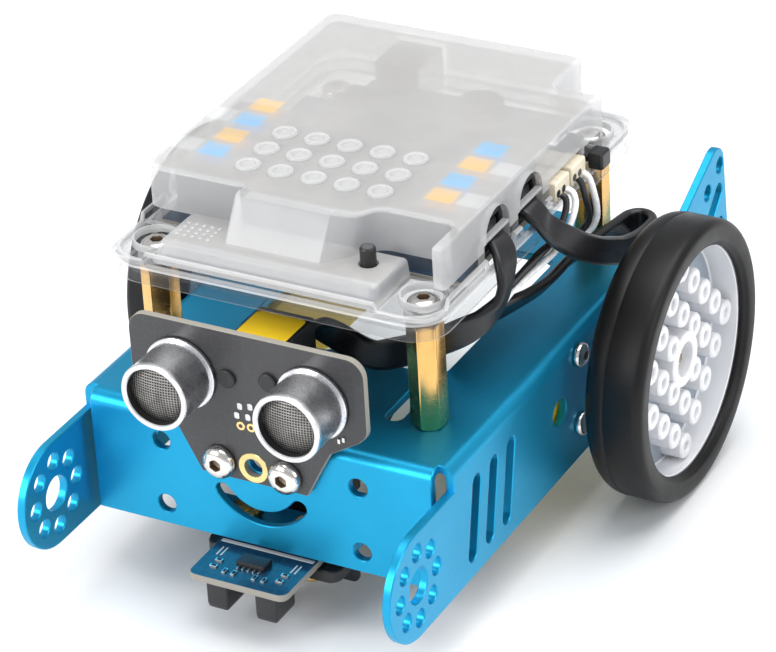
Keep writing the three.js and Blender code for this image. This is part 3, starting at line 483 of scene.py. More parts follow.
def rounded_rect(cx: float, cy: float, hx: float, hy: float, r: float, arc: int = 5) -> np.ndarray:
    """Outline of a rectangle with round corners, as four quarter circles joined by its sides.

    Args:
        cx, cy: centre.
        hx, hy: half sizes.
        r: corner radius.
        arc: steps in each corner.

    Returns:
        Points in order, anticlockwise.
    """
    r = max(min(r, hx - 1e-4, hy - 1e-4), 1e-3)
    turn = np.linspace(0, math.pi / 2, arc + 1)
    angle = (turn[None, :] + np.arange(4)[:, None] * math.pi / 2).ravel()
    signs = np.repeat([(1, 1), (-1, 1), (-1, -1), (1, -1)], arc + 1, axis=0)
    corner = signs * (hx - r, hy - r)
    return np.stack([cx + corner[:, 0] + r * np.cos(angle), cy + corner[:, 1] + r * np.sin(angle)], 1)


def circle(cx: float, cy: float, r: float, steps: int = 24) -> np.ndarray:
    """Points of a circle, anticlockwise."""
    angle = np.arange(steps) * 2 * math.pi / steps
    return np.stack([cx + r * np.cos(angle), cy + r * np.sin(angle)], 1)


def foot_holes() -> list[np.ndarray]:
    """The two holes that the line sensor's screws go through."""
    return [circle(x, FOOT_Y, SCREW_HOLE) for x in (-GRID, GRID)]


def slot_loop(a: tuple[float, float], b: tuple[float, float], width: float, steps: int = 9) -> np.ndarray:
    """Outline of a slot: half circles about both ends of its middle line."""
    along = math.atan2(b[1] - a[1], b[0] - a[0])
    half = np.linspace(math.pi / 2, 1.5 * math.pi, steps)
    ends = [(a, along + half), (b, along + half + math.pi)]
    return np.concatenate([np.stack([p[0] + width / 2 * np.cos(t), p[1] + width / 2 * np.sin(t)], 1) for p, t in ends])


def arc_points(cx: float, cy: float, r: float, start: float, end: float, steps: int) -> np.ndarray:
    """Points on an arc from start to end, in degrees."""
    t = np.radians(np.linspace(start, end, steps))
    return np.stack([cx + r * np.cos(t), cy + r * np.sin(t)], 1)


def inset(loop: np.ndarray, distance: float) -> np.ndarray:
    """Move an outline inwards: each point goes along the mean of its two sides' normals, mitred."""
    before, after = loop - np.roll(loop, 1, 0), np.roll(loop, -1, 0) - loop
    normals = []
    for side in (before, after):
        length = np.maximum(np.linalg.norm(side, axis=1, keepdims=True), 1e-9)
        normals.append(np.stack([-side[:, 1], side[:, 0]], 1) / length)
    mean = normals[0] + normals[1]
    mean /= np.maximum(np.linalg.norm(mean, axis=1, keepdims=True), 1e-9)
    cosine = np.maximum((mean * normals[0]).sum(1, keepdims=True), 0.5)
    area = 0.5 * np.sum(loop[:, 0] * np.roll(loop[:, 1], -1) - np.roll(loop[:, 0], -1) * loop[:, 1])
    return loop + mean * distance / cosine * (1 if area > 0 else -1)


def filleted(corners: Sequence[Sequence[float]], distance: float = 0.0, arc: int = 6) -> np.ndarray:
    """Round a polygon's corners and move it inwards.

    A corner between p0 and p2 follows (1 - t)^2 p0 + 2 t (1 - t) p1 + t^2 p2.

    Args:
        corners: rows of X, Y, corner radius and one more number to carry along, anticlockwise.
        distance: how far inwards the outline moves; hollow corners then grow and the others shrink.
        arc: steps in each corner.

    Returns:
        Rows of X, Y and the carried number.
    """
    rows = np.asarray(corners, float)
    xy = inset(rows[:, :2], distance)
    before, after = np.roll(xy, 1, 0) - xy, np.roll(xy, -1, 0) - xy
    room = np.minimum(np.linalg.norm(before, axis=1), np.linalg.norm(after, axis=1)) * 0.48
    before /= np.maximum(np.linalg.norm(before, axis=1, keepdims=True), 1e-9)
    after /= np.maximum(np.linalg.norm(after, axis=1, keepdims=True), 1e-9)
    bulge = np.sign(before[:, 1] * after[:, 0] - before[:, 0] * after[:, 1])
    reach = np.minimum(np.maximum(rows[:, 2] - distance * bulge, 0.3), room)
    t = np.linspace(0, 1, arc + 1)[:, None]
    out = []
    for point, b, a, span, radius, carried in zip(xy, before, after, reach, rows[:, 2], rows[:, 3]):
        line = point[None] if radius == 0 else (
            (1 - t) ** 2 * (point + b * span) + 2 * t * (1 - t) * point + t**2 * (point + a * span))
        out.append(np.column_stack([line, np.full(len(line), carried)]))
    return np.concatenate(out)


def smooth_route(route: Sequence[Sequence[float]], steps: int) -> np.ndarray:
    """Cubic through a route's rows: each span blends four rows with the Catmull-Rom weights.

    Args:
        route: rows of numbers, at least four.
        steps: samples in each span.

    Returns:
        All samples, the last row included.
    """
    rows = np.asarray(route, float)
    rows = np.concatenate([2 * rows[:1] - rows[1:2], rows, 2 * rows[-1:] - rows[-2:-1]])
    t = np.linspace(0, 1, steps, endpoint=False)[:, None]
    weights = (-0.5 * t + t**2 - 0.5 * t**3, 1 - 2.5 * t**2 + 1.5 * t**3,
               0.5 * t + 2 * t**2 - 1.5 * t**3, -0.5 * t**2 + 0.5 * t**3)
    spans = [sum(w * rows[i + k] for k, w in enumerate(weights)) for i in range(len(rows) - 3)]
    return np.concatenate(spans + [rows[-2:-1]])


class Skin:
    """Surfaces of one piece, gathered in millimetres before its mesh is made."""

    def __init__(self, *finishes: Finish) -> None:
        """Start empty; marks count through these finishes."""
        self.finishes = finishes
        self.points: list[np.ndarray] = []
        self.faces: list[tuple[int, ...]] = []
        self.marks: list[int] = []
        self.maps: list[np.ndarray] = []
        self.total = 0

    def patch(self, points: np.ndarray, faces: Iterable[Sequence[int]], mark: int | np.ndarray = 0,
              uv: np.ndarray | None = None) -> "Skin":
        """Add points and the faces between them.

        Args:
            points: rows of three.
            faces: point numbers, counted from 0.
            mark: finish number, or one for each face.
            uv: map coordinates of each point.

        Returns:
            This skin, for chaining.
        """
        faces = [tuple(int(i) + self.total for i in f) for f in faces]
        marks = np.broadcast_to(mark, len(faces))
        self.points.append(np.asarray(points, float))
        self.maps.append(np.zeros((len(points), 2)) if uv is None else uv)
        self.faces += faces
        self.marks += [int(m) for m in marks]
        self.total += len(points)
        return self

    def rings(self, grid: np.ndarray, caps: tuple[bool, bool] = (True, True), mark: int | Sequence[int] = 0,
              uv: np.ndarray | None = None) -> "Skin":
        """Join rings of points: row i, point j meets row i + 1, point j + 1, and each row closes on itself.

        Args:
            grid: rings by points by three.
            caps: whether the first and the last ring are filled.
            mark: finish number, or one for each band between rings.
            uv: map coordinates, rings by points by two.

        Returns:
            This skin, for chaining.
        """
        m, n = grid.shape[:2]
        i, j = np.meshgrid(np.arange(m - 1), np.arange(n), indexing="ij")
        k = (j + 1) % n
        quads = np.stack([i * n + j, i * n + k, (i + 1) * n + k, (i + 1) * n + j], -1).reshape(-1, 4)
        bands = np.broadcast_to(np.atleast_1d(mark), (m - 1,)) if np.ndim(mark) == 0 else np.asarray(mark)
        marks = list(np.repeat(bands, n))
        faces: list[Sequence[int]] = [tuple(q) for q in quads]
        for wanted, start, band in ((caps[0], 0, 0), (caps[1], (m - 1) * n, -1)):
            if wanted:
                faces.append(tuple(range(start, start + n)))
                marks.append(bands[band])
        return self.patch(grid.reshape(-1, 3), faces, np.asarray(marks), None if uv is None else uv.reshape(-1, 2))

    def turn(self, profile: Sequence[Sequence[float]], axis: Axis, centre: Sequence[float], steps: int = 48,
             mark: int | Sequence[int] = 0, flats: float | None = None, closed: bool = True) -> "Skin":
        """Turn a profile round an axis: each row is radius, height and how six-sided the ring is, from 0 to 1.

        The radius of a six-sided ring is the flat's distance over the cosine of the angle from the flat's middle.

        Args:
            profile: rows of radius, height and, optionally, six-sidedness.
            axis: direction of the height.
            centre: point that heights and radii are measured from.
            steps: points in each ring, a multiple of 12.
            mark: finish number, or one for each band.
            flats: half width to which the rings are cut across the first lateral axis.
            closed: whether both ends are filled; a profile that ends where it began needs no filling.

        Returns:
            This skin, for chaining.
        """
        rows = np.array([(*row, 0.0)[:3] for row in profile], float)
        angle = np.arange(steps) * 2 * math.pi / steps
        six = 1 / np.cos((angle + math.pi / 6) % (math.pi / 3) - math.pi / 6)
        radius = rows[:, :1] * (1 + rows[:, 2:3] * (six[None] - 1))
        u, v = radius * np.cos(angle), radius * np.sin(angle)
        if flats:
            u = np.clip(u, -flats, flats)
        h = np.broadcast_to(rows[:, 1:2], u.shape)
        order = {Axis.X: (h, u, v), Axis.Y: (u, h, v), Axis.Z: (u, v, h)}[axis]
        return self.rings(np.stack(order, -1) + np.asarray(centre, float), (closed, closed), mark)

    def stack(self, rows: Sequence[Sequence[float]], axis: Axis, mark: int | Sequence[int] = 0, arc: int = 4) -> "Skin":
        """Stack round-cornered rectangles: each row is centre, centre, half size, half size, radius, height."""
        return self.rings(np.stack([self.lift(rounded_rect(*row[:5], arc), axis, row[5]) for row in rows]), mark=mark)

    def bar(self, centre: Sequence[float], half: Sequence[float], r: float, eased: Sequence[tuple[float, float]],
            axis: Axis, mark: int | Sequence[int] = 0) -> "Skin":
        """Stack one rectangle at each place along the axis, drawn in by the inset that comes before the place."""
        return self.stack([(*centre, half[0] - e, half[1] - e, r, at) for e, at in eased], axis, mark)

    def walls(self, loops: Sequence[np.ndarray], heights: Sequence[float], axis: Axis = Axis.Z,
              mark: int | Sequence[int] = 0) -> "Skin":
        """Open wall through flat outlines, each lifted to its own height."""
        grid = np.stack([self.lift(loop, axis, h) for loop, h in zip(loops, heights)])
        return self.rings(grid, (False, False), mark)

    def fill(self, loops: Sequence[np.ndarray], height: float, axis: Axis = Axis.Z, mark: int = 0) -> "Skin":
        """Flat face at a height: the first loop is its outline and the others are holes."""
        faces = tessellate_polygon([[Vector((*p, 0.0)) for p in loop] for loop in loops])
        return self.patch(self.lift(np.concatenate(loops), axis, height), faces, mark)

    @staticmethod
    def lift(loop: np.ndarray, axis: Axis, height: float | np.ndarray) -> np.ndarray:
        """Put a flat outline at a height: the outline's two axes are the other two, in order."""
        h = np.broadcast_to(height, len(loop))
        order = {Axis.X: (h, loop[:, 0], loop[:, 1]), Axis.Y: (loop[:, 0], h, loop[:, 1]),
                 Axis.Z: (loop[:, 0], loop[:, 1], h)}[axis]
        return np.stack(order, -1)

    def block(self, x: Sequence[float], y: Sequence[float], z: Sequence[float], r: float = 0.3, edge: float = 0.2,
              mark: int = 0) -> "Skin":
        """Block with round upright corners and eased upper and lower edges."""
        mid = ((x[0] + x[1]) / 2, (y[0] + y[1]) / 2)
        half = ((x[1] - x[0]) / 2, (y[1] - y[0]) / 2)
        eased = [(edge, z[0]), (edge * 0.3, z[0] + edge * 0.3), (0, z[0] + edge), (0, z[1] - edge),
                 (edge * 0.3, z[1] - edge * 0.3), (edge, z[1])]
        return self.bar(mid, half, r, eased, Axis.Z, mark)

    def brick(self, x: float, y: float, hx: float, hy: float, z: Sequence[float], r: float, edge: float,
              mark: int = 0) -> "Skin":
        """Block given by its middle and its half sizes."""
        return self.block((x - hx, x + hx), (y - hy, y + hy), z, r, edge, mark)

    def plate(self, loops: Sequence[np.ndarray], lo: float, hi: float, axis: Axis = Axis.Z, edge: float = 0.15,
              marks: tuple[int, int] = (0, 0)) -> "Skin":
        """Flat plate with holes: the first loop is its outline, each wall is a strip with eased edges.

        Args:
            loops: outline and holes.
            lo, hi: the plate's two faces along the axis.
            axis: direction of the thickness.
            edge: size of the eased edges.
            marks: finish numbers of the faces and of the cut walls.

        Returns:
            This skin, for chaining.
        """
        eased = [(edge, lo), (0, lo + edge), (0, hi - edge), (edge, hi)]
        inner = [inset(loop, edge if k == 0 else -edge) for k, loop in enumerate(loops)]
        for loop, core in zip(loops, inner):
            self.walls([core if e else loop for e, _ in eased], [h for _, h in eased], axis, marks[1])
        return self.fill(inner, lo, axis, marks[0]).fill(inner, hi, axis, marks[0])

    def sweep(self, route: Sequence[Sequence[float]], section: np.ndarray, steps: int = 6, mark: int = 0) -> np.ndarray:
        """Carry a flat section along a route whose rows are a point and the direction its width takes.

        At each sample the width direction is made square to the path, and the thickness is the cross product.

        Args:
            route: rows of six numbers.
            section: width and thickness coordinates of the section's points.
            steps: samples in each span.
            mark: finish number.

        Returns:
            The sampled middle line.
        """
        rows = smooth_route(route, steps)
        line, side = rows[:, :3], rows[:, 3:]
        along = np.gradient(line, axis=0)
        along /= np.linalg.norm(along, axis=1, keepdims=True)
        side = side - along * (side * along).sum(1, keepdims=True)
        side /= np.linalg.norm(side, axis=1, keepdims=True)
        up = np.cross(side, along)
        grid = line[:, None] + side[:, None] * section[None, :, :1] + up[:, None] * section[None, :, 1:]
        travelled = np.concatenate([[0], np.cumsum(np.linalg.norm(np.diff(line, axis=0), axis=1))])
        width = (section[:, 0] - section[:, 0].min()) / np.ptp(section[:, 0])
        uv = np.stack(np.broadcast_arrays(width[None, :], travelled[:, None]), -1)
        self.rings(grid, mark=mark, uv=uv)
        return line

    def mirrored(self) -> "Skin":
        """A copy on the other side of the centre plane."""
        twin = Skin(*self.finishes)
        twin.points = [p * (-1, 1, 1) for p in self.points]
        twin.faces, twin.marks, twin.total, twin.maps = self.faces, self.marks, self.total, self.maps
        return twin

    def piece(self, name: str, node: str, body: Body = Body.FRAME, sharp: float = 32.0) -> bpy.types.Object:
        """Make the mesh: merge doubles, turn faces outwards, smooth all but sharp edges, dress and mount it.

        Args:
            name: the piece's name.
            node: the CAD node that it stands for.
            body: the rigid group it rides on.
            sharp: angle in degrees above which an edge stays crisp.

        Returns:
            The finished object.
        """
        name = name.replace(" ", "_")
        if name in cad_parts:
            name += "_shape"
        mesh = bpy.data.meshes.new(name)
        mesh.from_pydata(place(np.concatenate(self.points)).tolist(), [], self.faces)
        for finish in self.finishes:
            mesh.materials.append(finish.make())
        mesh.polygons.foreach_set("material_index", np.asarray(self.marks, np.int32))
        corners = np.empty(len(mesh.loops), np.int32)
        mesh.loops.foreach_get("vertex_index", corners)
        layer = mesh.uv_layers.new(name="route")
        layer.data.foreach_set("uv", np.concatenate(self.maps)[corners].astype(np.float32).ravel())
        work = bmesh.new()
        work.from_mesh(mesh)
        bmesh.ops.remove_doubles(work, verts=work.verts, dist=2e-7)
        bmesh.ops.recalc_face_normals(work, faces=work.faces)
        work.to_mesh(mesh)
        work.free()
        mesh.shade_smooth()
        mesh.set_sharp_from_angle(angle=math.radians(sharp))
        thing = bpy.data.objects.new(name, mesh)
        bpy.context.scene.collection.objects.link(thing)
        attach(thing, body.value)
        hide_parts(node)
        log.info("%s: %d faces", name, len(mesh.polygons))
        return thing


# ---------------------------------------------------------------------------- camera


@dataclass(frozen=True)
class Studio:
    """Camera, lights and floor."""

    azimuth: float = 29.776
    elevation: float = 29.891
    roll: float = -3.407
    eye: tuple[float, float, float] = (0.358834, -0.627441, 0.455287)
    focal: float = 173.5

    def camera(self) -> None:
        """Aim the camera: its back axis from azimuth and elevation, its up axis rolled about that."""
        a, e, r = (math.radians(v) for v in (self.azimuth, self.elevation, self.roll))
        back = Vector((math.sin(a) * math.cos(e), -math.cos(a) * math.cos(e), math.sin(e)))
        right = Vector((math.cos(a), math.sin(a), 0.0))
        up = back.cross(right)
        right, up = right * math.cos(r) + up * math.sin(r), up * math.cos(r) - right * math.sin(r)
        data = bpy.data.cameras.new("camera")
        data.lens = self.focal
        data.sensor_width = 36.0
        data.clip_end = 20.0
        camera = bpy.data.objects.new("camera", data)
        turn = Matrix((right, up, back)).transposed().to_4x4()
        camera.matrix_world = Matrix.Translation(self.eye) @ turn
        bpy.context.scene.collection.objects.link(camera)
        bpy.context.scene.camera = camera

    def lamp(self, name: str, place_at: tuple[float, float, float], size: float, power: float,
             aim: tuple[float, float, float] = (0, 0, 0.04)) -> None:
        """Hang one square soft box and aim it."""
        data = bpy.data.lights.new(name, "AREA")
        data.shape = "SQUARE"
        data.size = size
        data.energy = power
        lamp = bpy.data.objects.new(name, data)
        lamp.location = place_at
        lamp.rotation_euler = (Vector(place_at) - Vector(aim)).to_track_quat("Z", "Y").to_euler()
        bpy.context.scene.collection.objects.link(lamp)

    def lights(self) -> None:
        """Pale room, a broad lamp above, one from the front left and a weak one behind."""
        world = bpy.data.worlds.new("room")
        world.use_nodes = True
        background = world.node_tree.nodes["Background"]
        background.inputs["Color"].default_value = (0.95, 0.97, 1.0, 1)
        background.inputs["Strength"].default_value = 0.62
        bpy.context.scene.world = world
        self.lamp("lamp above", (0.10, 0.10, 1.0), 0.9, 9.5)
        self.lamp("lamp front", (-0.55, -0.95, 0.55), 0.6, 8.0)
        self.lamp("lamp side", (0.95, -0.1, 0.5), 0.5, 2.5)
        bpy.context.scene.view_settings.view_transform = "Standard"

    def floor(self) -> None:
        """Lay a pale floor, a little wavy in tone so that it is not one flat colour."""
        mesh = bpy.data.meshes.new("floor")
        corners = np.array([(-4, -4, 0), (4, -4, 0), (4, 4, 0), (-4, 4, 0)], float) - (0, 0, 0.0002)
        mesh.from_pydata(corners.tolist(), [], [(0, 1, 2, 3)])
        graph = Graph("pale floor")
        tone = graph.noise(300.0, 2)
        graph.set(Base_Color=graph.mix(tone, (0.9, 0.9, 0.9, 1), (0.94, 0.94, 0.94, 1)), Roughness=0.75)
        mesh.materials.append(graph.material)
        floor = bpy.data.objects.new("floor", mesh)
        bpy.context.scene.collection.objects.link(floor)

    def build(self) -> None:
        """Set up everything that is not the robot."""
        self.camera()
        self.lights()
        self.floor()


# ---------------------------------------------------------------------------- leads


@dataclass(frozen=True)
class Leads:
    """Two flat leads to the sensors and two pairs of motor wires."""

    width: float = 6.4
    thickness: float = 2.2
    wire: float = 1.5
    sensor_route: tuple[tuple[float, ...], ...] = (
        (37.2, 40.2, 79.4, 0, -1, 0), (38.8, 39.7, 79, 0, -1, 0), (40.5, 38.4, 77.5, 0, -1, -0.1),
        (41.7, 36.6, 75, 0, -1, 0), (42, 35.6, 71.6, 0.15, -1, 0.1), (41.2, 33.8, 67.8, 0.2, -0.8, 0.5),
        (39.2, 31, 65.2, 0.1, -0.4, 0.9), (36, 28.2, 63.2, 0, 0, 1), (31.4, 26.2, 60.8, 0, 0, 1),
        (26, 24.8, 58.6, 0, 0, 1), (20.4, 25.2, 55.6, 0, 0.1, 1), (14.6, 27, 53, 0, 0.3, 1),
        (9, 28.6, 52.8, 0.1, 0.4, 1), (4.4, 28.4, 54.8, 0.5, 0.3, 0.9), (1.4, 26, 57.6, 0.9, 0.2, 0.5),
        (0.1, 22.8, 59.2, 1, 0, 0.1), (0, 19.4, 59.4, 1, 0, 0), (0, 16.7, 59.4, 1, 0, 0),
    )
    line_route: tuple[tuple[float, ...], ...] = (
        (37.2, 55.4, 79.4, 0, 1, 0), (38.8, 55.3, 79, 0, 1, 0.1), (40.6, 55.6, 77.2, -0.2, 0.9, 0.3),
        (41.6, 56.6, 75, -0.3, 0.8, 0.5), (43.4, 58.8, 72, -0.2, 0.6, 0.8), (45.2, 63.8, 67.6, 0, 0.5, 0.9),
        (46.2, 70.8, 62.9, 0, 0.4, 0.9), (46.4, 78, 59.2, 0, 0.3, 1), (46.4, 83.6, 56.6, 0, 0.2, 1),
        (46.6, 90.8, 54.6, 0, 0.1, 1), (46.6, 97.6, 53.9, 0, 0, 1), (46.1, 99.9, 53.7, 0, 0, 1),
        (44.8, 101.6, 53.6, 0, 0, 1), (43.0, 102.2, 53.6, 0, 0, 1), (41.2, 101.6, 53.6, 0, 0, 1),
        (39.9, 99.9, 53.6, 0, 0, 1), (39.4, 97.6, 53.8, 0.1, 0, 1), (38, 90, 54.4, 0.4, 0, 0.9),
        (36.4, 81.2, 55, 0.6, 0, 0.8),
        (36, 73.6, 55, 0.65, 0, 0.76), (35.6, 66.6, 54.4, 0.65, 0, 0.76), (34.6, 58.6, 55, 0.65, 0, 0.76),
        (32.6, 52.8, 55.1, 0.6, 0, 0.8), (28, 49.4, 52.8, 0.6, -0.3, 0.7), (22.5, 48.8, 48.5, 0.2, -1, 0.1),
        (17, 49, 42.6, 0, -1, 0), (11.4, 49, 35.6, 0, -1, 0), (6.4, 48, 28.8, -0.2, -1, 0),
        (2.6, 45, 23.8, -0.8, -0.4, 0.4), (0.6, 40.6, 21.2, -1, 0, 0.1), (0, 36, 20.6, -1, 0, 0),
        (0, 31.2, 20.6, -1, 0, 0),
    )
    wires: dict[str, tuple[tuple[float, float, float], ...]] = field(default_factory=lambda: {
        "left_black": (
            (40.4, 74.4, 77.6), (41.5, 74.2, 76.4), (42, 74.6, 73.2), (42.1, 75.6, 70), (41.9, 76.3, 66.9),
            (40.6, 75.8, 64.4), (38.4, 72.6, 63.8), (37, 67.6, 64.4), (36.6, 62, 64.6), (36.2, 56, 63.6),
            (35.2, 50, 61.6), (33, 44.6, 58.8), (29.6, 40.4, 55.4), (25.4, 38.4, 51.4), (22, 38.4, 46.8),
            (20.2, 38.2, 42), (20, 36, 37.8), (21.6, 32.6, 34.8), (25, 29.6, 33), (29.2, 29.4, 32.4)),
        "left_white": (
            (40.4, 77.2, 77.6), (41.9, 77, 76.6), (42.8, 77.2, 73.2), (43, 78, 69.6), (42.6, 78.4, 66),
            (41, 77.6, 63), (38.2, 74.2, 61.6), (36, 69, 62), (35, 63, 62.2), (34.4, 57, 61.4),
            (33.6, 51.4, 60.2), (31.4, 46, 57.6), (28.4, 42.4, 54.4), (25, 41.2, 50.4), (21.8, 41.2, 46.4),
            (18.6, 41.4, 41.6), (17.4, 39, 37), (18.2, 34.6, 33.4), (21, 30.6, 30.6), (25, 28.4, 29.6),
            (29.2, 29.2, 29.4)),
        "right_black": (
            (40.4, 66.2, 77.6), (41.6, 66, 76.8), (42, 64.8, 74.6), (41.8, 62.4, 72), (41, 59.2, 69.4),
            (39.6, 55.4, 67.4), (38.2, 51, 65.6), (36.6, 46.6, 63.6), (34, 42.8, 61), (29.8, 40.2, 57.8),
            (24, 38.6, 54.8), (17, 38.4, 51.8), (9, 38.4, 48.4), (1, 38.4, 45), (-7, 38, 42),
            (-14, 36, 39.2), (-20, 32.8, 36.2), (-24.8, 29.8, 33.6), (-29.2, 29.4, 32.4)),
        "right_white": (
            (40.4, 69, 77.6), (42, 68.8, 77), (42.9, 67.8, 74.6), (42.8, 65, 71.2), (41.8, 61.4, 67.6),
            (40, 57.2, 65.4), (38.2, 52.6, 63.8), (36.9, 48.2, 62.4), (34.8, 43.6, 58.8), (30.8, 38.6, 54.8),
            (25, 36.2, 51.6), (18, 37.6, 48.4), (10, 39.4, 45.2), (2, 39.4, 42), (-6, 37, 39),
            (-12.6, 34, 36), (-18, 30.8, 32.6), (-22.6, 28.8, 30.4), (-29.2, 29.2, 29.4)),
    })

    def lead(self, name: str, node: str, route: Sequence[Sequence[float]], section: np.ndarray,
             finish: Finish) -> None:
        """Sweep one lead and mount it."""
        skin = Skin(finish)
        line = place(skin.sweep(route, section))
        thing = skin.piece(name, node, sharp=60)

    def build(self) -> None:
        """Make both flat leads and the four wires."""
        flat = rounded_rect(0, 0, self.width / 2, self.thickness / 2, self.thickness * 0.42, 5)
        round_wire = circle(0, 0, self.wire / 2, 14)
        self.lead("distance sensor lead", "sensor_lead", self.sensor_route, flat, SHEATH)
        self.lead("line sensor lead", "line_lead", self.line_route, flat, SHEATH)
        for key, route in self.wires.items():
            finish = WIRE_WHITE if key.endswith("white") else WIRE_BLACK
            rows = [(*point, 0.31, 0.52, 0.79) for point in route]
            self.lead(f"motor wire {key}", f"motor_wire_{key}", rows, round_wire, finish)


# ---------------------------------------------------------------------------- chassis


@dataclass(frozen=True)
class Chassis:
    """One sheet of aluminium, cut flat with all its holes and then folded on three sides."""

    sheet: float = 2.0
    fold: float = 3.0
    half: float = 45.0
    front_foot: float = 16.4
    front_half: float = 41.5
    cuts: int = 9

    @property
    def strip(self) -> float:
        """Length of sheet that one fold uses up, along its middle."""
        return (self.fold - self.sheet / 2) * math.pi / 2

    def down(self, z: float | np.ndarray) -> float | np.ndarray:
        """Flat distance from the centre plane of a height on the side wall."""
        return self.half - self.fold + self.strip + (DECK - self.fold - z)

    def ahead(self, z: float) -> float:
        """Flat Y of a height on the front plate."""
        return self.fold - self.strip - (DECK - self.fold - z)

    def side_outline(self) -> np.ndarray:
        """Half outline of the flat sheet, from the front fold round the ear and the fin to the deck's rear edge."""
        ear = arc_points(*EAR, 12.5, 90, 270, 26)
        tip = arc_points(137.9, 50.9, 4.2, 0, 117, 10)
        heel = arc_points(139.5, 33.6, 4.4, -52, 0, 7)
        wall = np.concatenate([[(3.5, 39.7)], ear, [(118, 14.7)], heel, tip, [(114, 43.6), (113.7, 41.6), (113, 41.6)]])
        flat = np.stack([self.down(wall[:, 1]), wall[:, 0]], 1)
        start = [(self.front_half, self.ahead(self.front_foot)), (self.front_half, self.fold + 0.5),
                 (self.half - self.fold + self.strip, self.fold + 0.5)]
        return np.concatenate([start, flat])

    def outline(self) -> np.ndarray:
        """Whole outline of the flat sheet, the half and its mirror image."""
        half = self.side_outline()
        return np.concatenate([half, half[::-1] * (-1, 1)])

    def wall_holes(self) -> list[np.ndarray]:
        """Holes of one side wall, as loops in Y and Z."""
        turn = np.arange(8) * math.pi / 4
        ring = [circle(EAR[0] + GRID * math.cos(t), EAR[1] + GRID * math.sin(t), 2.0, 20) for t in turn]
        bolts = [(AXLE[0] - BOLT_BACK, AXLE[1] + rise, 1.7) for rise in (BOLT_RISE, -BOLT_RISE)]
        rounds = [(*EAR, 4), (52.9, 31.2, 3.3), (*AXLE, 4), *bolts, (139.6, 50.2, 2), (132.7, 46.2, 2),
                  (139.6, 34.5, 2), (124.5, 27, 2)]
        slots = [slot_loop((y - 1.6, 20.5), (y + 1.6, 36.5), 3.8) for y in (12, 20, 28)]
        slots.append(slot_loop((139, 43.6), (131.5, 36.1), 4))
        return ring + [circle(y, z, r, 28) for y, z, r in rounds] + slots

    def deck_holes(self) -> list[np.ndarray]:
        """Holes of the deck, as loops in X and Y."""
        slots = [slot_loop((3 * GRID * s, 17.5), (3 * GRID * s, 28), 4) for s in (1, -1)]
        spare = [circle(x, 104, 2) for x in (-16, 0, 16)] + [circle(x, 26, 2) for x in (-GRID, GRID)]
        posts = [circle(POST_X * s, y, 2.0) for s in (1, -1) for y in POST_Y]
        return [rounded_rect(0, 64, 25.7, 28, 3)] + slots + spare + posts

    def front_holes(self) -> list[np.ndarray]:
        """Holes of the front plate, as loops in X and Z: screws and one curved slot."""
        rounds = [circle(x, z, SCREW_HOLE) for x in (-3 * GRID, 3 * GRID) for z in (37.5, 21.5)]
        screws = [circle(x, SENSOR_SCREW_Z, SCREW_HOLE) for x in (-GRID, 0, GRID)]
        mid, radius, half, reach = 35.2, 11.4, 1.8, 54.4
        end = math.radians(reach)
        tips = [(radius * math.sin(s * end), mid - radius * math.cos(end)) for s in (1, -1)]
        smile = np.concatenate([
            arc_points(0, mid, radius + half, 270 - reach, 270 + reach, 24),
            arc_points(*tips[0], half, 270 + reach, 450 + reach, 9)[1:-1],
            arc_points(0, mid, radius - half, 270 + reach, 270 - reach, 24),
            arc_points(*tips[1], half, 450 - reach, 630 - reach, 9)[1:-1],
        ])
        return rounds + screws + [smile]

    def flat_loops(self) -> list[np.ndarray]:
        """Outline and all holes in the flat sheet's own coordinates."""
        shift = self.half - self.fold + self.strip + DECK - self.fold
        sides = [np.stack([s * (shift - h[:, 1]), h[:, 0]], 1) for h in self.wall_holes() for s in (1, -1)]
        shift = self.fold - self.strip - (DECK - self.fold)
        front = [h + (0, shift) for h in self.front_holes()]
        return [self.outline()] + self.deck_holes() + sides + front

    def folded(self, flat: np.ndarray) -> np.ndarray:
        """Fold the sheet: a point past a fold's start turns about its centre, then runs straight down.

        The angle is the distance past the start over the strip, times a right angle, and the radius is the
        fold's inner radius plus the point's height in the sheet.

        Args:
            flat: points of the flat sheet, the third number its height in the sheet from 0 to its thickness.

        Returns:
            Points of the folded sheet.
        """
        u, v, w = flat.T
        inner, foot = self.fold - self.sheet, self.half - self.fold
        past = np.abs(u) - foot
        angle = np.clip(past / self.strip, 0, 1) * math.pi / 2
        beyond = np.maximum(past - self.strip, 0)
        x = np.where(past > 0, foot + (inner + w) * np.sin(angle), np.abs(u)) * np.sign(u)
        z = DECK - self.fold + np.where(past > 0, (inner + w) * np.cos(angle) - beyond, inner + w)
        upright = (np.abs(v - 128.0) < 14.7) & (np.abs(u) > 30)
        x = np.where(upright, np.sign(u) * (foot + inner + w), x)
        z = np.where(upright, DECK - self.fold - (past - self.strip), z)
        side = np.stack([x, v, z], 1)
        reach = self.fold - v
        angle = np.clip(reach / self.strip, 0, 1) * math.pi / 2
        beyond = np.maximum(reach - self.strip, 0)
        y = self.fold - (inner + w) * np.sin(angle)
        z = DECK - self.fold + (inner + w) * np.cos(angle) - beyond
        front = np.stack([u, y, z], 1)
        return np.where(((v < self.fold) & (np.abs(u) < self.front_half + 0.1))[:, None], front, side)

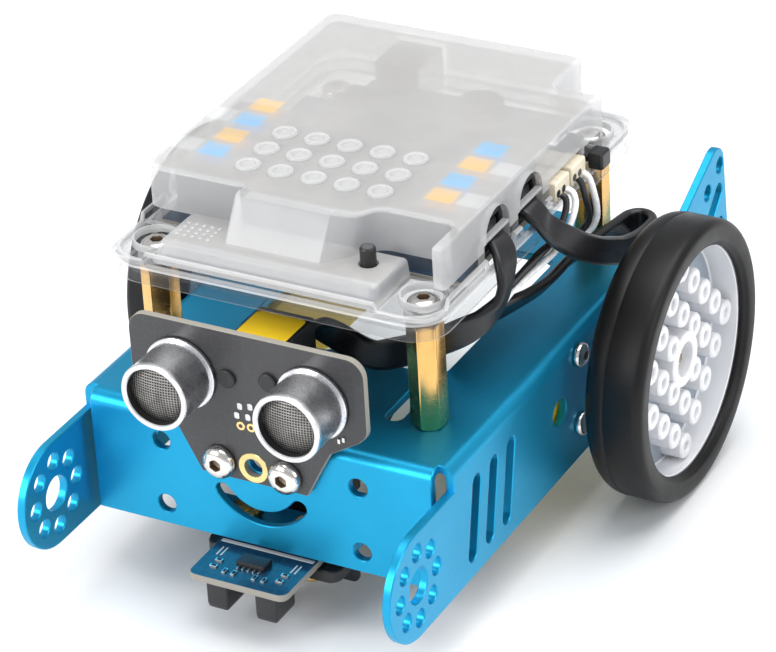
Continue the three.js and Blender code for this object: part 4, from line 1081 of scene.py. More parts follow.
    def build(self) -> None:
        """Cut the sheet, crease it along its folds, fold it and add the foot flange."""
        sheet = Skin(BLUE).plate(self.flat_loops(), 0.0, self.sheet, edge=0.22)
        work = bmesh.new()
        mesh = bpy.data.meshes.new("flat sheet")
        mesh.from_pydata(np.concatenate(sheet.points).tolist(), [], sheet.faces)
        work.from_mesh(mesh)
        bmesh.ops.remove_doubles(work, verts=work.verts, dist=1e-4)
        lines = [((s * (self.half - self.fold + self.strip * k / self.cuts), 0, 0), (1, 0, 0))
                 for k in range(self.cuts + 1) for s in (1, -1)]
        lines += [((0, self.fold - self.strip * k / self.cuts, 0), (0, 1, 0)) for k in range(self.cuts + 1)]
        for point, normal in lines:
            bmesh.ops.bisect_plane(work, geom=work.verts[:] + work.edges[:] + work.faces[:], dist=1e-5,
                                   plane_co=point, plane_no=normal)
        bmesh.ops.triangulate(work, faces=[f for f in work.faces if len(f.verts) > 4])
        work.to_mesh(mesh)
        work.free()
        flat = np.empty(len(mesh.vertices) * 3)
        mesh.vertices.foreach_get("co", flat)
        faces = [tuple(p.vertices) for p in mesh.polygons]
        skin = Skin(BLUE).patch(self.folded(flat.reshape(-1, 3)), faces)
        bpy.data.meshes.remove(mesh)
        skin.plate([rounded_rect(0, 7.4, 19, 5.6, 2)] + foot_holes(), self.front_foot, self.front_foot + self.sheet)
        skin.piece("folded chassis", "chassis", sharp=28)


# ---------------------------------------------------------------------------- fasteners


@dataclass(frozen=True)
class Fasteners:
    """Posts, case screws, sensor screws and foot screws."""

    hex_flats: float = 7.0
    foot: float = 45.65
    top: float = 70.35

    @staticmethod
    def screw_head(skin: Skin, centre: Sequence[float], axis: Axis, out: int, radius: float, height: float,
                   key: float) -> None:
        """Button head: a dome whose height falls with the square of the radius, and a six-sided socket in it.

        Args:
            skin: where it goes; finish 0 is bright and finish 1 is the socket, a darker copy of the metal as painted
                shade.
            centre: middle of the head's underside.
            axis: the screw's axis.
            out: 1 or -1, the way the head faces.
            radius, height: size of the head.
            key: half width of the socket across its flats.
        """
        reach = np.linspace(1, (key + 0.35) / radius, 9)
        dome = [(radius * t, out * (height * (0.32 + 0.68 * math.sqrt(max(0.0, 1 - t**3)))), 0) for t in reach]
        rim = [(radius * 0.98, 0, 0), (radius, out * height * 0.14, 0)]
        top = dome[-1][1]
        socket = [(key + 0.12, top, 0.6), (key, top - out * 0.12, 1), (key, out * height * 0.34, 1),
                  (key * 0.5, out * height * 0.22, 0.5), (0.05, out * height * 0.16, 0)]
        rows = [(0.05, 0, 0)] + rim + dome + socket
        marks = [0] * (len(rows) - 5) + [1] * 4
        skin.turn(rows, axis, centre, 48, marks)

    def build(self) -> None:
        """Make every post and screw."""
        half = self.hex_flats / 2
        seat = CASE_FLOOR + 1.6 + BOSS + 0.3
        upper = [(0.1, self.foot), (half - 0.1, self.foot, 0.4), (half, self.foot + 0.5, 1), (half, self.top - 0.5, 1),
                 (half - 0.1, self.top, 0.4), (2.1, self.top), (1.9, self.top - 0.4), (1.9, self.top - 6),
                 (0.1, self.top - 6)]
        lower = [(0.1, self.foot + 0.2), (1.8, self.foot + 0.2), (1.8, 43.2), (3.7, 43.0), (3.8, 42.4), (3.1, 41.3),
                 (1.3, 41.05, 0), (1.25, 41.1, 1), (1.25, 42.2, 1), (0.1, 42.4)]
        shank = [(0.1, seat - 7.9), (1.5, seat - 7.8), (1.75, seat - 7.3), (1.75, seat - 0.05), (0.1, seat - 0.04)]
        for where, sign, y in CORNERS:
            at = (POST_X * sign, y, 0)
            post = Skin(BRASS, STEEL).turn(upper, Axis.Z, at, 72).turn(lower, Axis.Z, at, 48, 1)
            post.piece(f"brass post {where}", f"post_{where}")
            screw = Skin(STEEL, SOCKET_PAINTED_SHADE)
            self.screw_head(screw, (POST_X * sign, y, seat), Axis.Z, 1, 3.6, 2.2, 1.25)
            screw.turn(shank, Axis.Z, at, 24).piece(f"case screw {where}", f"case_screw_{where}")
        seat = SENSOR_FACE - 0.3
        shank = [(0.1, seat + 5.4), (1.5, seat + 5.3), (1.8, seat + 4.8), (1.8, seat + 0.05), (0.1, seat + 0.04)]
        under, nut = 9.6, 18.7
        long_shank = [(0.1, under - 0.1), (1.8, under - 0.05), (1.8, 21.6), (0.1, 21.65)]
        nut_rows = [(1.8, nut), (3.3, nut, 0.5), (3.45, nut + 0.35, 1), (3.45, nut + 2.2, 1), (3.3, nut + 2.55, 0.5),
                    (1.8, nut + 2.6)]
        for side, sign in SIDES:
            screw = Skin(STEEL, SOCKET_PAINTED_SHADE)
            self.screw_head(screw, (GRID * sign, seat, SENSOR_SCREW_Z), Axis.Y, -1, 3.8, 2.4, 1.25)
            screw.turn(shank, Axis.Y, (GRID * sign, 0, SENSOR_SCREW_Z), 24)
            screw.piece(f"sensor screw {side}", f"sensor_screw_{side}")
            foot = Skin(BRASS, SOCKET_PAINTED_SHADE)
            self.screw_head(foot, (GRID * sign, FOOT_Y, under), Axis.Z, -1, 3.5, 2.1, 1.1)
            foot.turn(long_shank, Axis.Z, (GRID * sign, FOOT_Y, 0), 24)
            foot.turn(nut_rows, Axis.Z, (GRID * sign, FOOT_Y, 0), 48)
            foot.piece(f"foot screw {side}", f"foot_screw_{side}")


# ---------------------------------------------------------------------------- drive


@dataclass(frozen=True)
class Drive:
    """Gearbox, motor, bolts, shaft, hub and tyre of one side."""

    side: str
    sign: int
    tyre_inner: float = 50.5
    tyre_outer: float = 65.0
    radius: float = 32.25
    rim: float = 26.3

    def finish(self, skin: Skin, name: str, body: Body = Body.FRAME, sharp: float = 32.0) -> None:
        """Mirror the right side's pieces and mount them under the node of the same name."""
        named = f"{name} {self.side}"
        (skin if self.sign > 0 else skin.mirrored()).piece(named, named.replace(" ", "_"), body, sharp)

    def gearbox(self) -> None:
        """Yellow case in two halves with a seam, a rear tab and two through bolts."""
        y, z = AXLE
        cy, hy, cz, hz = (47.5 + y + 11.3) / 2, (y + 11.3 - 47.5) / 2, z - 0.2, 11.1
        seam = 33.5
        skin = Skin(YELLOW)
        insets = [(0.8, 24.2), (0.25, 24.4), (0, 24.9), (0, seam - 0.3), (0.3, seam), (0, seam + 0.3), (0, 42.1),
                  (0.25, 42.5), (0.8, 42.7)]
        skin.bar((cy, cz), (hy, hz), 2, insets, Axis.X)
        tab = [rounded_rect(y + 13.1, z, 3.0, 3.0, 2.4), circle(y + 13.7, z, 1.5, 16)]
        skin.plate(tab, 31.2, 34.2, Axis.X)
        self.finish(skin, "gearbox")
        can = Skin(MOTOR, BLACK)
        rows = [(0.1, 28.8), (2.7, 28.8), (3.0, 29.1), (3.0, 30.5), (9.2, 30.5), (10, 31.2), (10, 46.9), (9.4, 47.2),
                (0.1, 47.2)]
        can.turn(rows, Axis.Y, (33.4, 0, z - 0.2), 48, [0, 0, 0, 1, 0, 0, 0, 0], flats=7.6)
        self.finish(can, "motor can")
        for name, dz in (("upper", BOLT_RISE), ("lower", -BOLT_RISE)):
            bolt = Skin(STEEL, SOCKET_PAINTED_SHADE)
            Fasteners.screw_head(bolt, (45.3, y - BOLT_BACK, z + dz), Axis.X, 1, 2.8, 1.8, 0.95)
            shank = [(0.1, 26.7), (1.3, 26.8), (1.45, 27.1), (1.45, 45.35), (0.1, 45.36)]
            bolt.turn(shank, Axis.X, (0, y - BOLT_BACK, z + dz), 24)
            self.finish(bolt, f"motor bolt {name}")

    def hub(self, body: Body) -> None:
        """White hub: rim, recessed web in a grey-blue copy of the white plastic as painted shade, a field of round
        posts on the turned grid, and a bored boss.
        """
        y, z = AXLE
        skin = Skin(HUB, HUB_WEB_PAINTED_SHADE)
        seat = 27.7
        outer = [(3.0, 48.7), (3.2, 48.5), (4.8, 48.5), (5.0, 48.7), (5.0, 53.0), (seat - 0.3, 53.0), (seat, 53.3),
                 (seat, 62.4), (seat - 0.2, 62.6), (seat - 1.4, 62.6), (seat - 1.6, 62.4), (seat - 1.6, 56.6),
                 (seat - 1.9, 56.2), (6.5, 56.2), (6.5, 61.2), (6.2, 61.5), (4.2, 61.5), (4.0, 61.3), (4.0, 58.2),
                 (3.0, 58.2), (3.0, 48.7)]
        # Band 12 is the recessed web, in the grey-blue painted-shade copy of the hub plastic.
        marks = [0] * 12 + [1] + [0] * 7
        skin.turn(outer, Axis.X, (0, y, z), 96, marks, closed=False)
        pitch = GRID / math.sqrt(2)
        tube = [(0.05, 56.0), (2.95, 56.0), (2.95, 61.0), (2.6, 61.4), (1.5, 61.4), (1.3, 61.1), (1.25, 59.4),
                (0.05, 59.4)]
        for row in range(-4, 5):
            for col in range(-4, 5):
                if (row + col) % 2 == 0 and 7.0 <= math.hypot(row, col) * pitch <= 23.2:
                    skin.turn(tube, Axis.X, (0, y + col * pitch, z + row * pitch), 24)
        self.finish(skin, "wheel hub", body, 30)

    def tyre(self, body: Body) -> None:
        """Tyre: flat tread with round shoulders, a fine mould line, a bead and a groove beside the rim."""
        a, b, top = self.tyre_inner, self.tyre_outer, self.radius
        turn = np.radians(np.linspace(0, 90, 9))
        inner = [(top - 4.4 * (1 - math.sin(t)), a + 4.6 * (1 - math.cos(t))) for t in turn]
        outer = [(top - 1.9 * (1 - math.cos(t)), b - 2.3 * (1 - math.sin(t))) for t in turn]
        middle = a + 5.6
        line = [(top, middle - 0.25), (top - 0.12, middle), (top, middle + 0.25)]
        face = [(27.6, b - 0.05), (27.2, b - 0.3), (27.0, b - 0.75), (self.rim + 0.2, b - 1.0), (self.rim, b - 1.3),
                (self.rim, 62.95), (28.0, 62.95), (28.0, 52.7), (26.7, 52.7), (26.7, a + 0.2), (27.0, a)]
        rows = inner + line + outer + face + inner[:1]
        skin = Skin(RUBBER).turn(rows, Axis.X, (0, *AXLE), 120, closed=False)
        self.finish(skin, "tyre", body, 40)

    def shaft(self, body: Body) -> None:
        """Shaft with two flats and the screw that holds the wheel."""
        middle = (0, *AXLE)
        skin = Skin(HUB, STEEL)
        skin.turn([(0.1, 37.8), (2.5, 37.8), (2.7, 38.1), (2.7, 46.0), (2.69, 46.1)], Axis.X, middle, 36)
        skin.turn([(2.69, 46.1), (2.7, 58.4), (2.4, 58.6), (0.1, 58.6)], Axis.X, middle, 36, flats=1.85)
        screw = [(0.1, 58.5), (2.3, 58.6), (2.4, 58.9), (2.2, 59.8), (1.2, 60.15), (1.1, 60.1, 1), (1.0, 59.3, 1),
                 (0.1, 59.2)]
        skin.turn(screw, Axis.X, middle, 36, 1)
        self.finish(skin, "output shaft", body)

    def build(self) -> None:
        """Make everything on this side."""
        body = Body.WHEEL_LEFT if self.sign > 0 else Body.WHEEL_RIGHT
        self.gearbox()
        self.hub(body)
        self.tyre(body)
        self.shaft(body)


# ---------------------------------------------------------------------------- distance sensor


@dataclass(frozen=True)
class DistanceSensor:
    """Board with two transducers, its jack, label and small parts."""

    half: float = 28.2
    top: float = 69.8
    can_x: float = 15.8
    can_z: float = 57.6
    can_r: float = 7.9
    can_front: float = -13.6

    def outline(self) -> np.ndarray:
        """Wide upper part with round corners, tapering to a narrow foot."""
        right = np.concatenate([
            [(12.8, 33.8), (19.0, 45.6), (26.4, 50.2)], arc_points(24.9, 53.4, 3.3, -62, 0, 6),
            arc_points(self.half - 4.2, self.top - 4.2, 4.2, 0, 90, 8),
        ])
        return np.concatenate([right, right[::-1] * (-1, 1)])

    def board(self) -> None:
        """Black mask with a pale cut edge, a gold-ringed hole, pads and two small vias."""
        skin = Skin(MASK_BLACK, CORE, GOLD, TIN, CHIP)
        face = SENSOR_FACE
        holes = [circle(x, SENSOR_SCREW_Z, SCREW_HOLE, 28) for x in (-GRID, 0, GRID)]
        skin.plate([self.outline()] + holes, face, face + 1.6, Axis.Y, 0.12, (0, 1))
        eyelet = [(2.22, face + 1.5), (2.22, face - 0.1), (2.35, face - 0.16), (3.5, face - 0.16), (3.6, face + 0.02),
                  (2.22, face + 1.5)]
        skin.turn(eyelet, Axis.Y, (0, 0, SENSOR_SCREW_Z), 48, 2, closed=False)
        via = [(0.5, face + 0.02), (0.5, face - 0.1), (1.0, face - 0.1), (1.05, face + 0.02), (0.5, face + 0.02)]
        for x, z in ((-2.3, 47.5), (0.2, 47.6)):
            skin.turn(via, Axis.Y, (x, 0, z), 24, 2, closed=False)
        for x, z in ((-2.1, 52.4), (0.4, 52.8), (-3.0, 50.0), (-0.3, 50.1)):
            skin.stack([(x, z, 0.65, 0.8, 0.4, face + 0.05), (x, z, 0.62, 0.78, 0.4, face - 0.2),
                        (x, z, 0.4, 0.5, 0.3, face - 0.28)], Axis.Y, 3)
        button = [(0.1, face + 0.05), (2.0, face + 0.05), (2.1, face - 0.6), (1.8, face - 0.85), (0.1, face - 0.9)]
        for x, z in ((-4.7, 58.6), (5.3, 60.0)):
            skin.turn(button, Axis.Y, (x, 0, z), 30, 4)
        for x, z in ((21.5, 49.6), (22.6, 50.2)):
            skin.stack([(x, z, 0.35, 0.6, 0.15, face + 0.05), (x, z, 0.3, 0.55, 0.15, face - 0.35)], Axis.Y, 3)
        skin.piece("distance sensor board", "sensor_board")

    def transducer(self, side: str, sign: int) -> None:
        """Drawn can with a bright rolled lip, a domed woven grille inside and a flared base."""
        front, back, r = self.can_front, SENSOR_FACE - 0.3, self.can_r
        skin = Skin(CAN, LIP, MESH, BLACK)
        rows = [(0.1, back), (r + 0.4, back), (r + 0.5, back - 0.15), (r + 0.5, back - 0.75), (r + 0.3, back - 0.9),
                (r - 0.1, back - 0.9), (r - 0.1, front + 1.4), (r, front + 1.1), (r, front + 0.3),
                (r - 0.15, front + 0.06), (r - 0.4, front), (r - 1.1, front), (r - 1.3, front + 0.25),
                (r - 1.3, front + 2.2)]
        marks = [0] * 6 + [1] * 6 + [3]
        dome = [((r - 1.3) * (1 - t), front + 2.2 - 1.1 * (1 - (1 - t) ** 2)) for t in np.linspace(0, 0.99, 8)]
        rows += dome[1:]
        marks += [2] * 7
        skin.turn(rows, Axis.Y, (self.can_x * sign, 0, self.can_z), 84, marks)
        skin.piece(f"transducer {side}", f"transducer_{side}", sharp=26)

    def jack(self) -> None:
        """Black jack behind the board, open backwards, with a yellow label on its top."""
        y0 = SENSOR_FACE + 1.9
        skin = Skin(BLACK, LABEL)
        Controller.socket(skin, Axis.Y, (0, 59.9), (6.6, 6.1), y0, 16.4, 11.0)
        at = y0 + 8.4
        label = [(5.9, 6.1, 1.2, 65.95), (5.9, 6.1, 1.2, 66.1), (5.7, 5.9, 1.1, 66.15)]
        skin.stack([(0, at, *row) for row in label], Axis.Z, 1)
        skin.piece("sensor jack", "sensor_jack")
        plug = Skin(BLACK)
        Controller.plug(plug, Axis.Y, (0, 59.4), 16.4)
        plug.piece("sensor plug", "sensor_plug")

    def build(self) -> None:
        """Make the whole sensor."""
        self.board()
        self.transducer("left", 1)
        self.transducer("right", -1)
        self.jack()


# ---------------------------------------------------------------------------- line sensor and caster


@dataclass(frozen=True)
class LineSensor:
    """Small board under the nose with two optical eyes, and its jack."""

    def build(self) -> None:
        """Make board, parts, eyes, jack and plug."""
        top = LINE_TOP
        skin = Skin(MASK_BLUE, CORE, GOLD, PRINT, CHIP, TIN)
        skin.plate([rounded_rect(0, 8.5, 12, 21.5, 2)] + foot_holes(), top - 1.6, top, Axis.Z, 0.12, (0, 1))
        seat = LINE_TOP - 0.05
        ring = [(2.22, top - 0.02), (2.22, top + 0.06), (3.4, top + 0.06), (3.5, top - 0.02), (2.22, top - 0.02)]
        for x in (-GRID, GRID):
            skin.turn(ring, Axis.Z, (x, FOOT_Y, 0), 36, 2, closed=False)
        skin.block((-11.4, 11.4), (0.6, 1.7), (seat, top + 0.06), 0.2, 0.02, 3)
        parts = [(-7.8, -8.6, 0.9, 0.5), (-7.8, -6.2, 0.9, 0.5), (-4.6, -9.4, 0.5, 0.9), (-2.4, -9.4, 0.5, 0.9),
                 (2.6, -9.2, 0.5, 0.9), (4.9, -9.2, 0.5, 0.9), (8.2, -8.2, 0.9, 0.5), (8.2, -5.8, 0.9, 0.5)]
        for x, y, hx, hy in parts:
            skin.brick(x, y, hx, hy, (seat, top + 0.35), 0.1, 0.06, 5)
            skin.brick(x, y, hx * 0.55, hy * 0.55, (top, top + 0.5), 0.1, 0.06, 4)
        skin.block((-3.4, 3.4), (-6.6, -2.9), (seat, top + 1.3), 0.2, 0.12, 4)
        for k in range(5):
            for y in (-7.2, -2.4):
                skin.brick(-2.6 + 1.3 * k, y, 0.22, 0.55, (seat, top + 0.35), 0.08, 0.05, 5)
        for x in (-9.6, -8.6, 8.6, 9.6):
            skin.block((x - 0.18, x + 0.18), (-4.4, -1.2), (seat, top + 0.05), 0.1, 0.02, 3)
        skin.piece("line sensor board", "line_sensor_board")
        shape = [(2.2, 3.7, 0.4, 5.8), (2.45, 3.95, 0.5, 6.1), (2.6, 4.1, 0.5, 7.0), (2.6, 4.1, 0.5, 12.6),
                 (2.4, 3.9, 0.4, 12.9)]
        lens = [(0.1, 5.75), (1.1, 5.75), (1.3, 6.0), (1.3, 6.6), (0.1, 6.6)]
        for side, sign in SIDES:
            x = 6 * sign
            eye = Skin(BLACK, BLACK_PAINTED_HIGHLIGHT).stack([(x, -7.1, *row) for row in shape], Axis.Z)
            for y in (-9.0, -5.2):
                # Each lens takes the lighter copy of the black plastic, a painted highlight.
                eye.turn(lens, Axis.Z, (x, y, 0), 24, 1)
            eye.piece(f"line eye {side}", f"line_eye_{side}")
        jack = Skin(BLACK)
        Controller.socket(jack, Axis.Y, (0, 20.9), (6.6, 5.75), 16, 31, 11.0)
        jack.piece("line sensor jack", "line_jack")
        plug = Skin(BLACK)
        Controller.plug(plug, Axis.Y, (0, 20.6), 31.0)
        plug.piece("line sensor plug", "line_plug")


@dataclass(frozen=True)
class Caster:
    """Black cup under the nose with a steel ball."""

    y: float = 16.0
    ball: float = 5.5

    def build(self) -> None:
        """Make the cup with its foot and the ball."""
        top = LINE_TOP - 1.9
        skin = Skin(BLACK)
        skin.plate([rounded_rect(0, FOOT_Y, 16.5, 4.5, 3)] + foot_holes(), top - 3, top, Axis.Z, 0.3)
        cup = [(0.1, top), (7.8, top), (8.2, top - 0.4), (8.2, 4.6), (7.9, 4.2), (5.9, 4.2), (5.65, 4.6)]
        cup += [(5.65 * math.cos(t), 5.6 + 5.75 * math.sin(t)) for t in np.radians(np.linspace(5, 88, 8))]
        skin.turn(cup, Axis.Z, (0, self.y, 0), 48)
        skin.block((-4.2, 4.2), (8, 12), (6.5, top - 0.05), 0.5, 0.3)
        skin.block((-16, 16), (10.4, 13), (5.2, top - 0.4), 0.8, 0.4)
        skin.piece("caster housing", "caster_housing")
        ball = Skin(STEEL)
        turn = np.radians(np.linspace(-89.5, 89.5, 25))
        rows = [(self.ball * math.cos(t), self.ball + self.ball * math.sin(t)) for t in turn]
        ball.turn(rows, Axis.Z, (0, self.y, 0), 48)
        ball.piece("caster ball", "caster_ball", Body.CASTER, 60)


# ---------------------------------------------------------------------------- controller


@dataclass(frozen=True)
class Controller:
    """Board in the case, with its jacks, plugs, button, switch and battery."""

    @staticmethod
    def socket(skin: Skin, axis: Axis, centre: tuple[float, float], half: tuple[float, float], back: float, face: float,
               depth: float) -> None:
        """Jack body open at its face, as rings that run up the outside, over the lip and down into the mouth.

        Args:
            skin: where it goes.
            axis: the way the mouth faces, or its opposite when face is below back.
            centre: middle of the body, along the two other axes.
            half: half sizes along the same axes.
            back, face: where the body starts and where its mouth opens.
            depth: how deep the mouth is.
        """
        out = 1 if face > back else -1
        (u, v), (hu, hv) = centre, half
        mouth = (u, v - 0.6 if axis is not Axis.Z else v)
        rows = [(u, v, hu - 0.3, hv - 0.3, 0.5, back), (u, v, hu, hv, 0.6, back + out * 0.3),
                (u, v, hu, hv, 0.6, face - out * 0.25), (u, v, hu - 0.25, hv - 0.25, 0.5, face),
                (*mouth, 5.0, 3.9, 0.4, face), (*mouth, 4.8, 3.6, 0.3, face - out * 0.3),
                (*mouth, 4.8, 3.6, 0.3, face - out * depth)]
        skin.stack(rows, axis)

    @staticmethod
    def plug(skin: Skin, axis: Axis, centre: tuple[float, float], face: float) -> None:
        """Modular plug pushed into a jack: body, latch and the start of its boot."""
        u, v = centre
        body = [(0, 4.2, 2.3, 0.3, 10.4), (0.1, 4.4, 2.6, 0.4, 10.1), (0.1, 4.4, 2.6, 0.4, 0.9),
                (0.1, 4.1, 2.3, 0.6, 0.65)]
        latch = [(3.2, 1.5, 0.5, 0.2, 8), (3.2, 1.5, 0.6, 0.2, 0.8), (3.0, 1.3, 0.4, 0.2, 0.5)]
        for rows in (body, latch):
            skin.stack([(u, v + up, hu, hv, r, face - deep) for up, hu, hv, r, deep in rows], axis)

    def jacks(self) -> None:
        """Four jacks at the sides, and the plugs in the two on the left."""
        mouth = [(0.3, 21.5), (0, 21.8), (0, 36.25), (0.25, 36.5)]
        hollow = [(5.1, 3.7, 0.4, 36.5), (4.9, 3.35, 0.3, 36.2), (4.9, 3.35, 0.3, 25.6)]
        for row, y in zip(("front", "rear"), JACK_Y):
            for side, sign in SIDES:
                jack = Skin(BLACK, STICKER_YELLOW, STICKER_BLUE, STICKER_WHITE)
                rows = [(y, 81.7, 6.5 - e, 5.8 - e, 0.6, sign * x) for e, x in mouth]
                rows += [(y, 80.15, hu, hv, r, sign * x) for hu, hv, r, x in hollow]
                jack.stack(rows, Axis.X)
                jack.brick(sign * 27.8, y, 6.2, 6.4, (87.42, 87.52), 0.3, 0.03, 3)
                for at, colour in ((y + 3.3, 1 if sign < 0 else 2), (y - 3.9, 2 if sign < 0 else 1)):
                    jack.brick(sign * PORT_X, at, 3.6, 2.6, (87.5, 87.62), 0.8, 0.04, colour)
                jack.piece(f"port jack {row} {side}", f"port_jack_{row}_{side}")
            plug = Skin(BLACK)
            self.plug(plug, Axis.X, (y, 79.7), 36.5)
            plug.piece(f"port plug {row}", f"port_plug_{row}")

    def board(self) -> None:
        """Blue board with chips, buzzer, USB shell, headers and plug seats."""
        z = BOARD
        skin = Skin(MASK_BLUE, CORE, CHIP, TIN, CREAM, BLACK)
        outline = [(-36.4, 26.5), (-24, 26.5), (-24, 12), (23.6, 12), (23.6, 26.5), (36.4, 26.5), (36.4, 90),
                   (24.4, 90), (24.4, 103.6), (-26, 103.6), (-26, 91), (-36.4, 91)]
        skin.plate([np.array(outline, float)], z - 1.6, z, Axis.Z, 0.12, (0, 1))
        skin.block((-6, 6), (62, 74), (z - 0.1, z + 1.6), 0.2, 0.15, 2)
        for k in range(8):
            step = 1.36 * k
            for sign in (-1, 1):
                skin.brick(sign * 6.7, 63.2 + step, 0.9, 0.25, (z - 0.05, z + 0.3), 0.1, 0.05, 3)
                skin.brick(-4.8 + step, 68 + sign * 6.7, 0.25, 0.9, (z - 0.05, z + 0.3), 0.1, 0.05, 3)
        buzzer = [(0.1, z - 0.1), (5.4, z - 0.1), (5.5, z + 6.2), (5.2, z + 6.5), (1.2, z + 6.5), (1.1, z + 5.4),
                  (0.1, z + 5.4)]
        skin.turn(buzzer, Axis.Z, (8, 92, 0), 48, 2)
        shell = [(0.3, 93.6), (0, 93.9), (0, 105.8), (0.2, 106), (1.6, 106), (1.8, 97.2)]
        skin.bar((-14, z + 5.2), (5.6, 5.2), 0.4, shell, Axis.Y, 3)
        skin.block((15.6, 21.6), (16.6, 22.6), (z - 0.1, z + 2.4), 0.4, 0.2, 3)
        skin.block((31, 36.4), (81.4, 90), (z - 0.1, z + 0.9), 0.3, 0.15, 5)
        skin.block((31, 34.4), (81.4, 90), (z + 0.8, z + 4), 0.3, 0.15, 5)
        skin.block((-22, -14), (70, 88), (z - 0.1, z + 7), 0.3, 0.25, 2)
        for y in (68.6, 76.6):
            skin.block((29, 34.6), (y - 3.2, y + 3.2), (z - 0.1, z + 4.6), 0.4, 0.25, 4)
        skin.piece("controller board", "main_board")

    def small_parts(self) -> None:
        """Button, power switch, motor plugs and the battery pack."""
        cap = Skin(BLACK, BLACK_PAINTED_HIGHLIGHT)
        rows = [(0.1, 78.8), (1.6, 78.8), (1.75, 79.0), (1.75, 83.6), (1.5, 83.95), (1.2, 84.0), (0.1, 83.95)]
        # The cap's top band and face take the lighter copy, a painted highlight.
        cap.turn(rows, Axis.Z, (*BUTTON, 0), 36, [0, 0, 0, 0, 0, 1])
        cap.piece("button cap", "button_cap", Body.BUTTON)
        knob = Skin(BLACK)
        y = 84.4
        knob.block((35.1, 39.2), (y - 1, y + 1), (BOARD + 1.3, BOARD + 2.5), 0.2, 0.1)
        knob.bar((y + 0.1, BOARD + 2.2), (2.1, 2.0), 0.4, [(0.2, 39.0), (0, 39.2), (0, 42.1), (0.35, 42.6)], Axis.X)
        knob.piece("power switch knob", "switch_knob", Body.SWITCH)
        for side, y in (("right", 68.6), ("left", 76.6)):
            plug = Skin(CREAM, BLACK)
            z = BOARD + 2.5
            plug.bar((y, z), (3.4, 2.3), 0.4, [(0.2, 34.9), (0, 35.1), (0, 39.4), (0.25, 39.7)], Axis.X)
            for dy in (-1.1, 1.5):
                plug.stack([(y + dy - 1.2, z - 0.4, 0.85, 0.85, 0.8, x) for x in (39.6, 39.74)], Axis.X, 1)
            plug.stack([(y, z + 2.25, 1.2, 0.15, 0.1, x) for x in (36, 39.2)], Axis.X)
            plug.piece(f"motor plug {side}", f"motor_plug_{side}")
        pack = Skin(BLACK)
        pack.block((-14, 14), (40, 92), (61.2, 70.2), 3, 1.2)
        pack.piece("battery pack", "battery_pack")

    def build(self) -> None:
        """Make everything in and under the case."""
        self.board()
        self.jacks()
        self.small_parts()


# ---------------------------------------------------------------------------- case


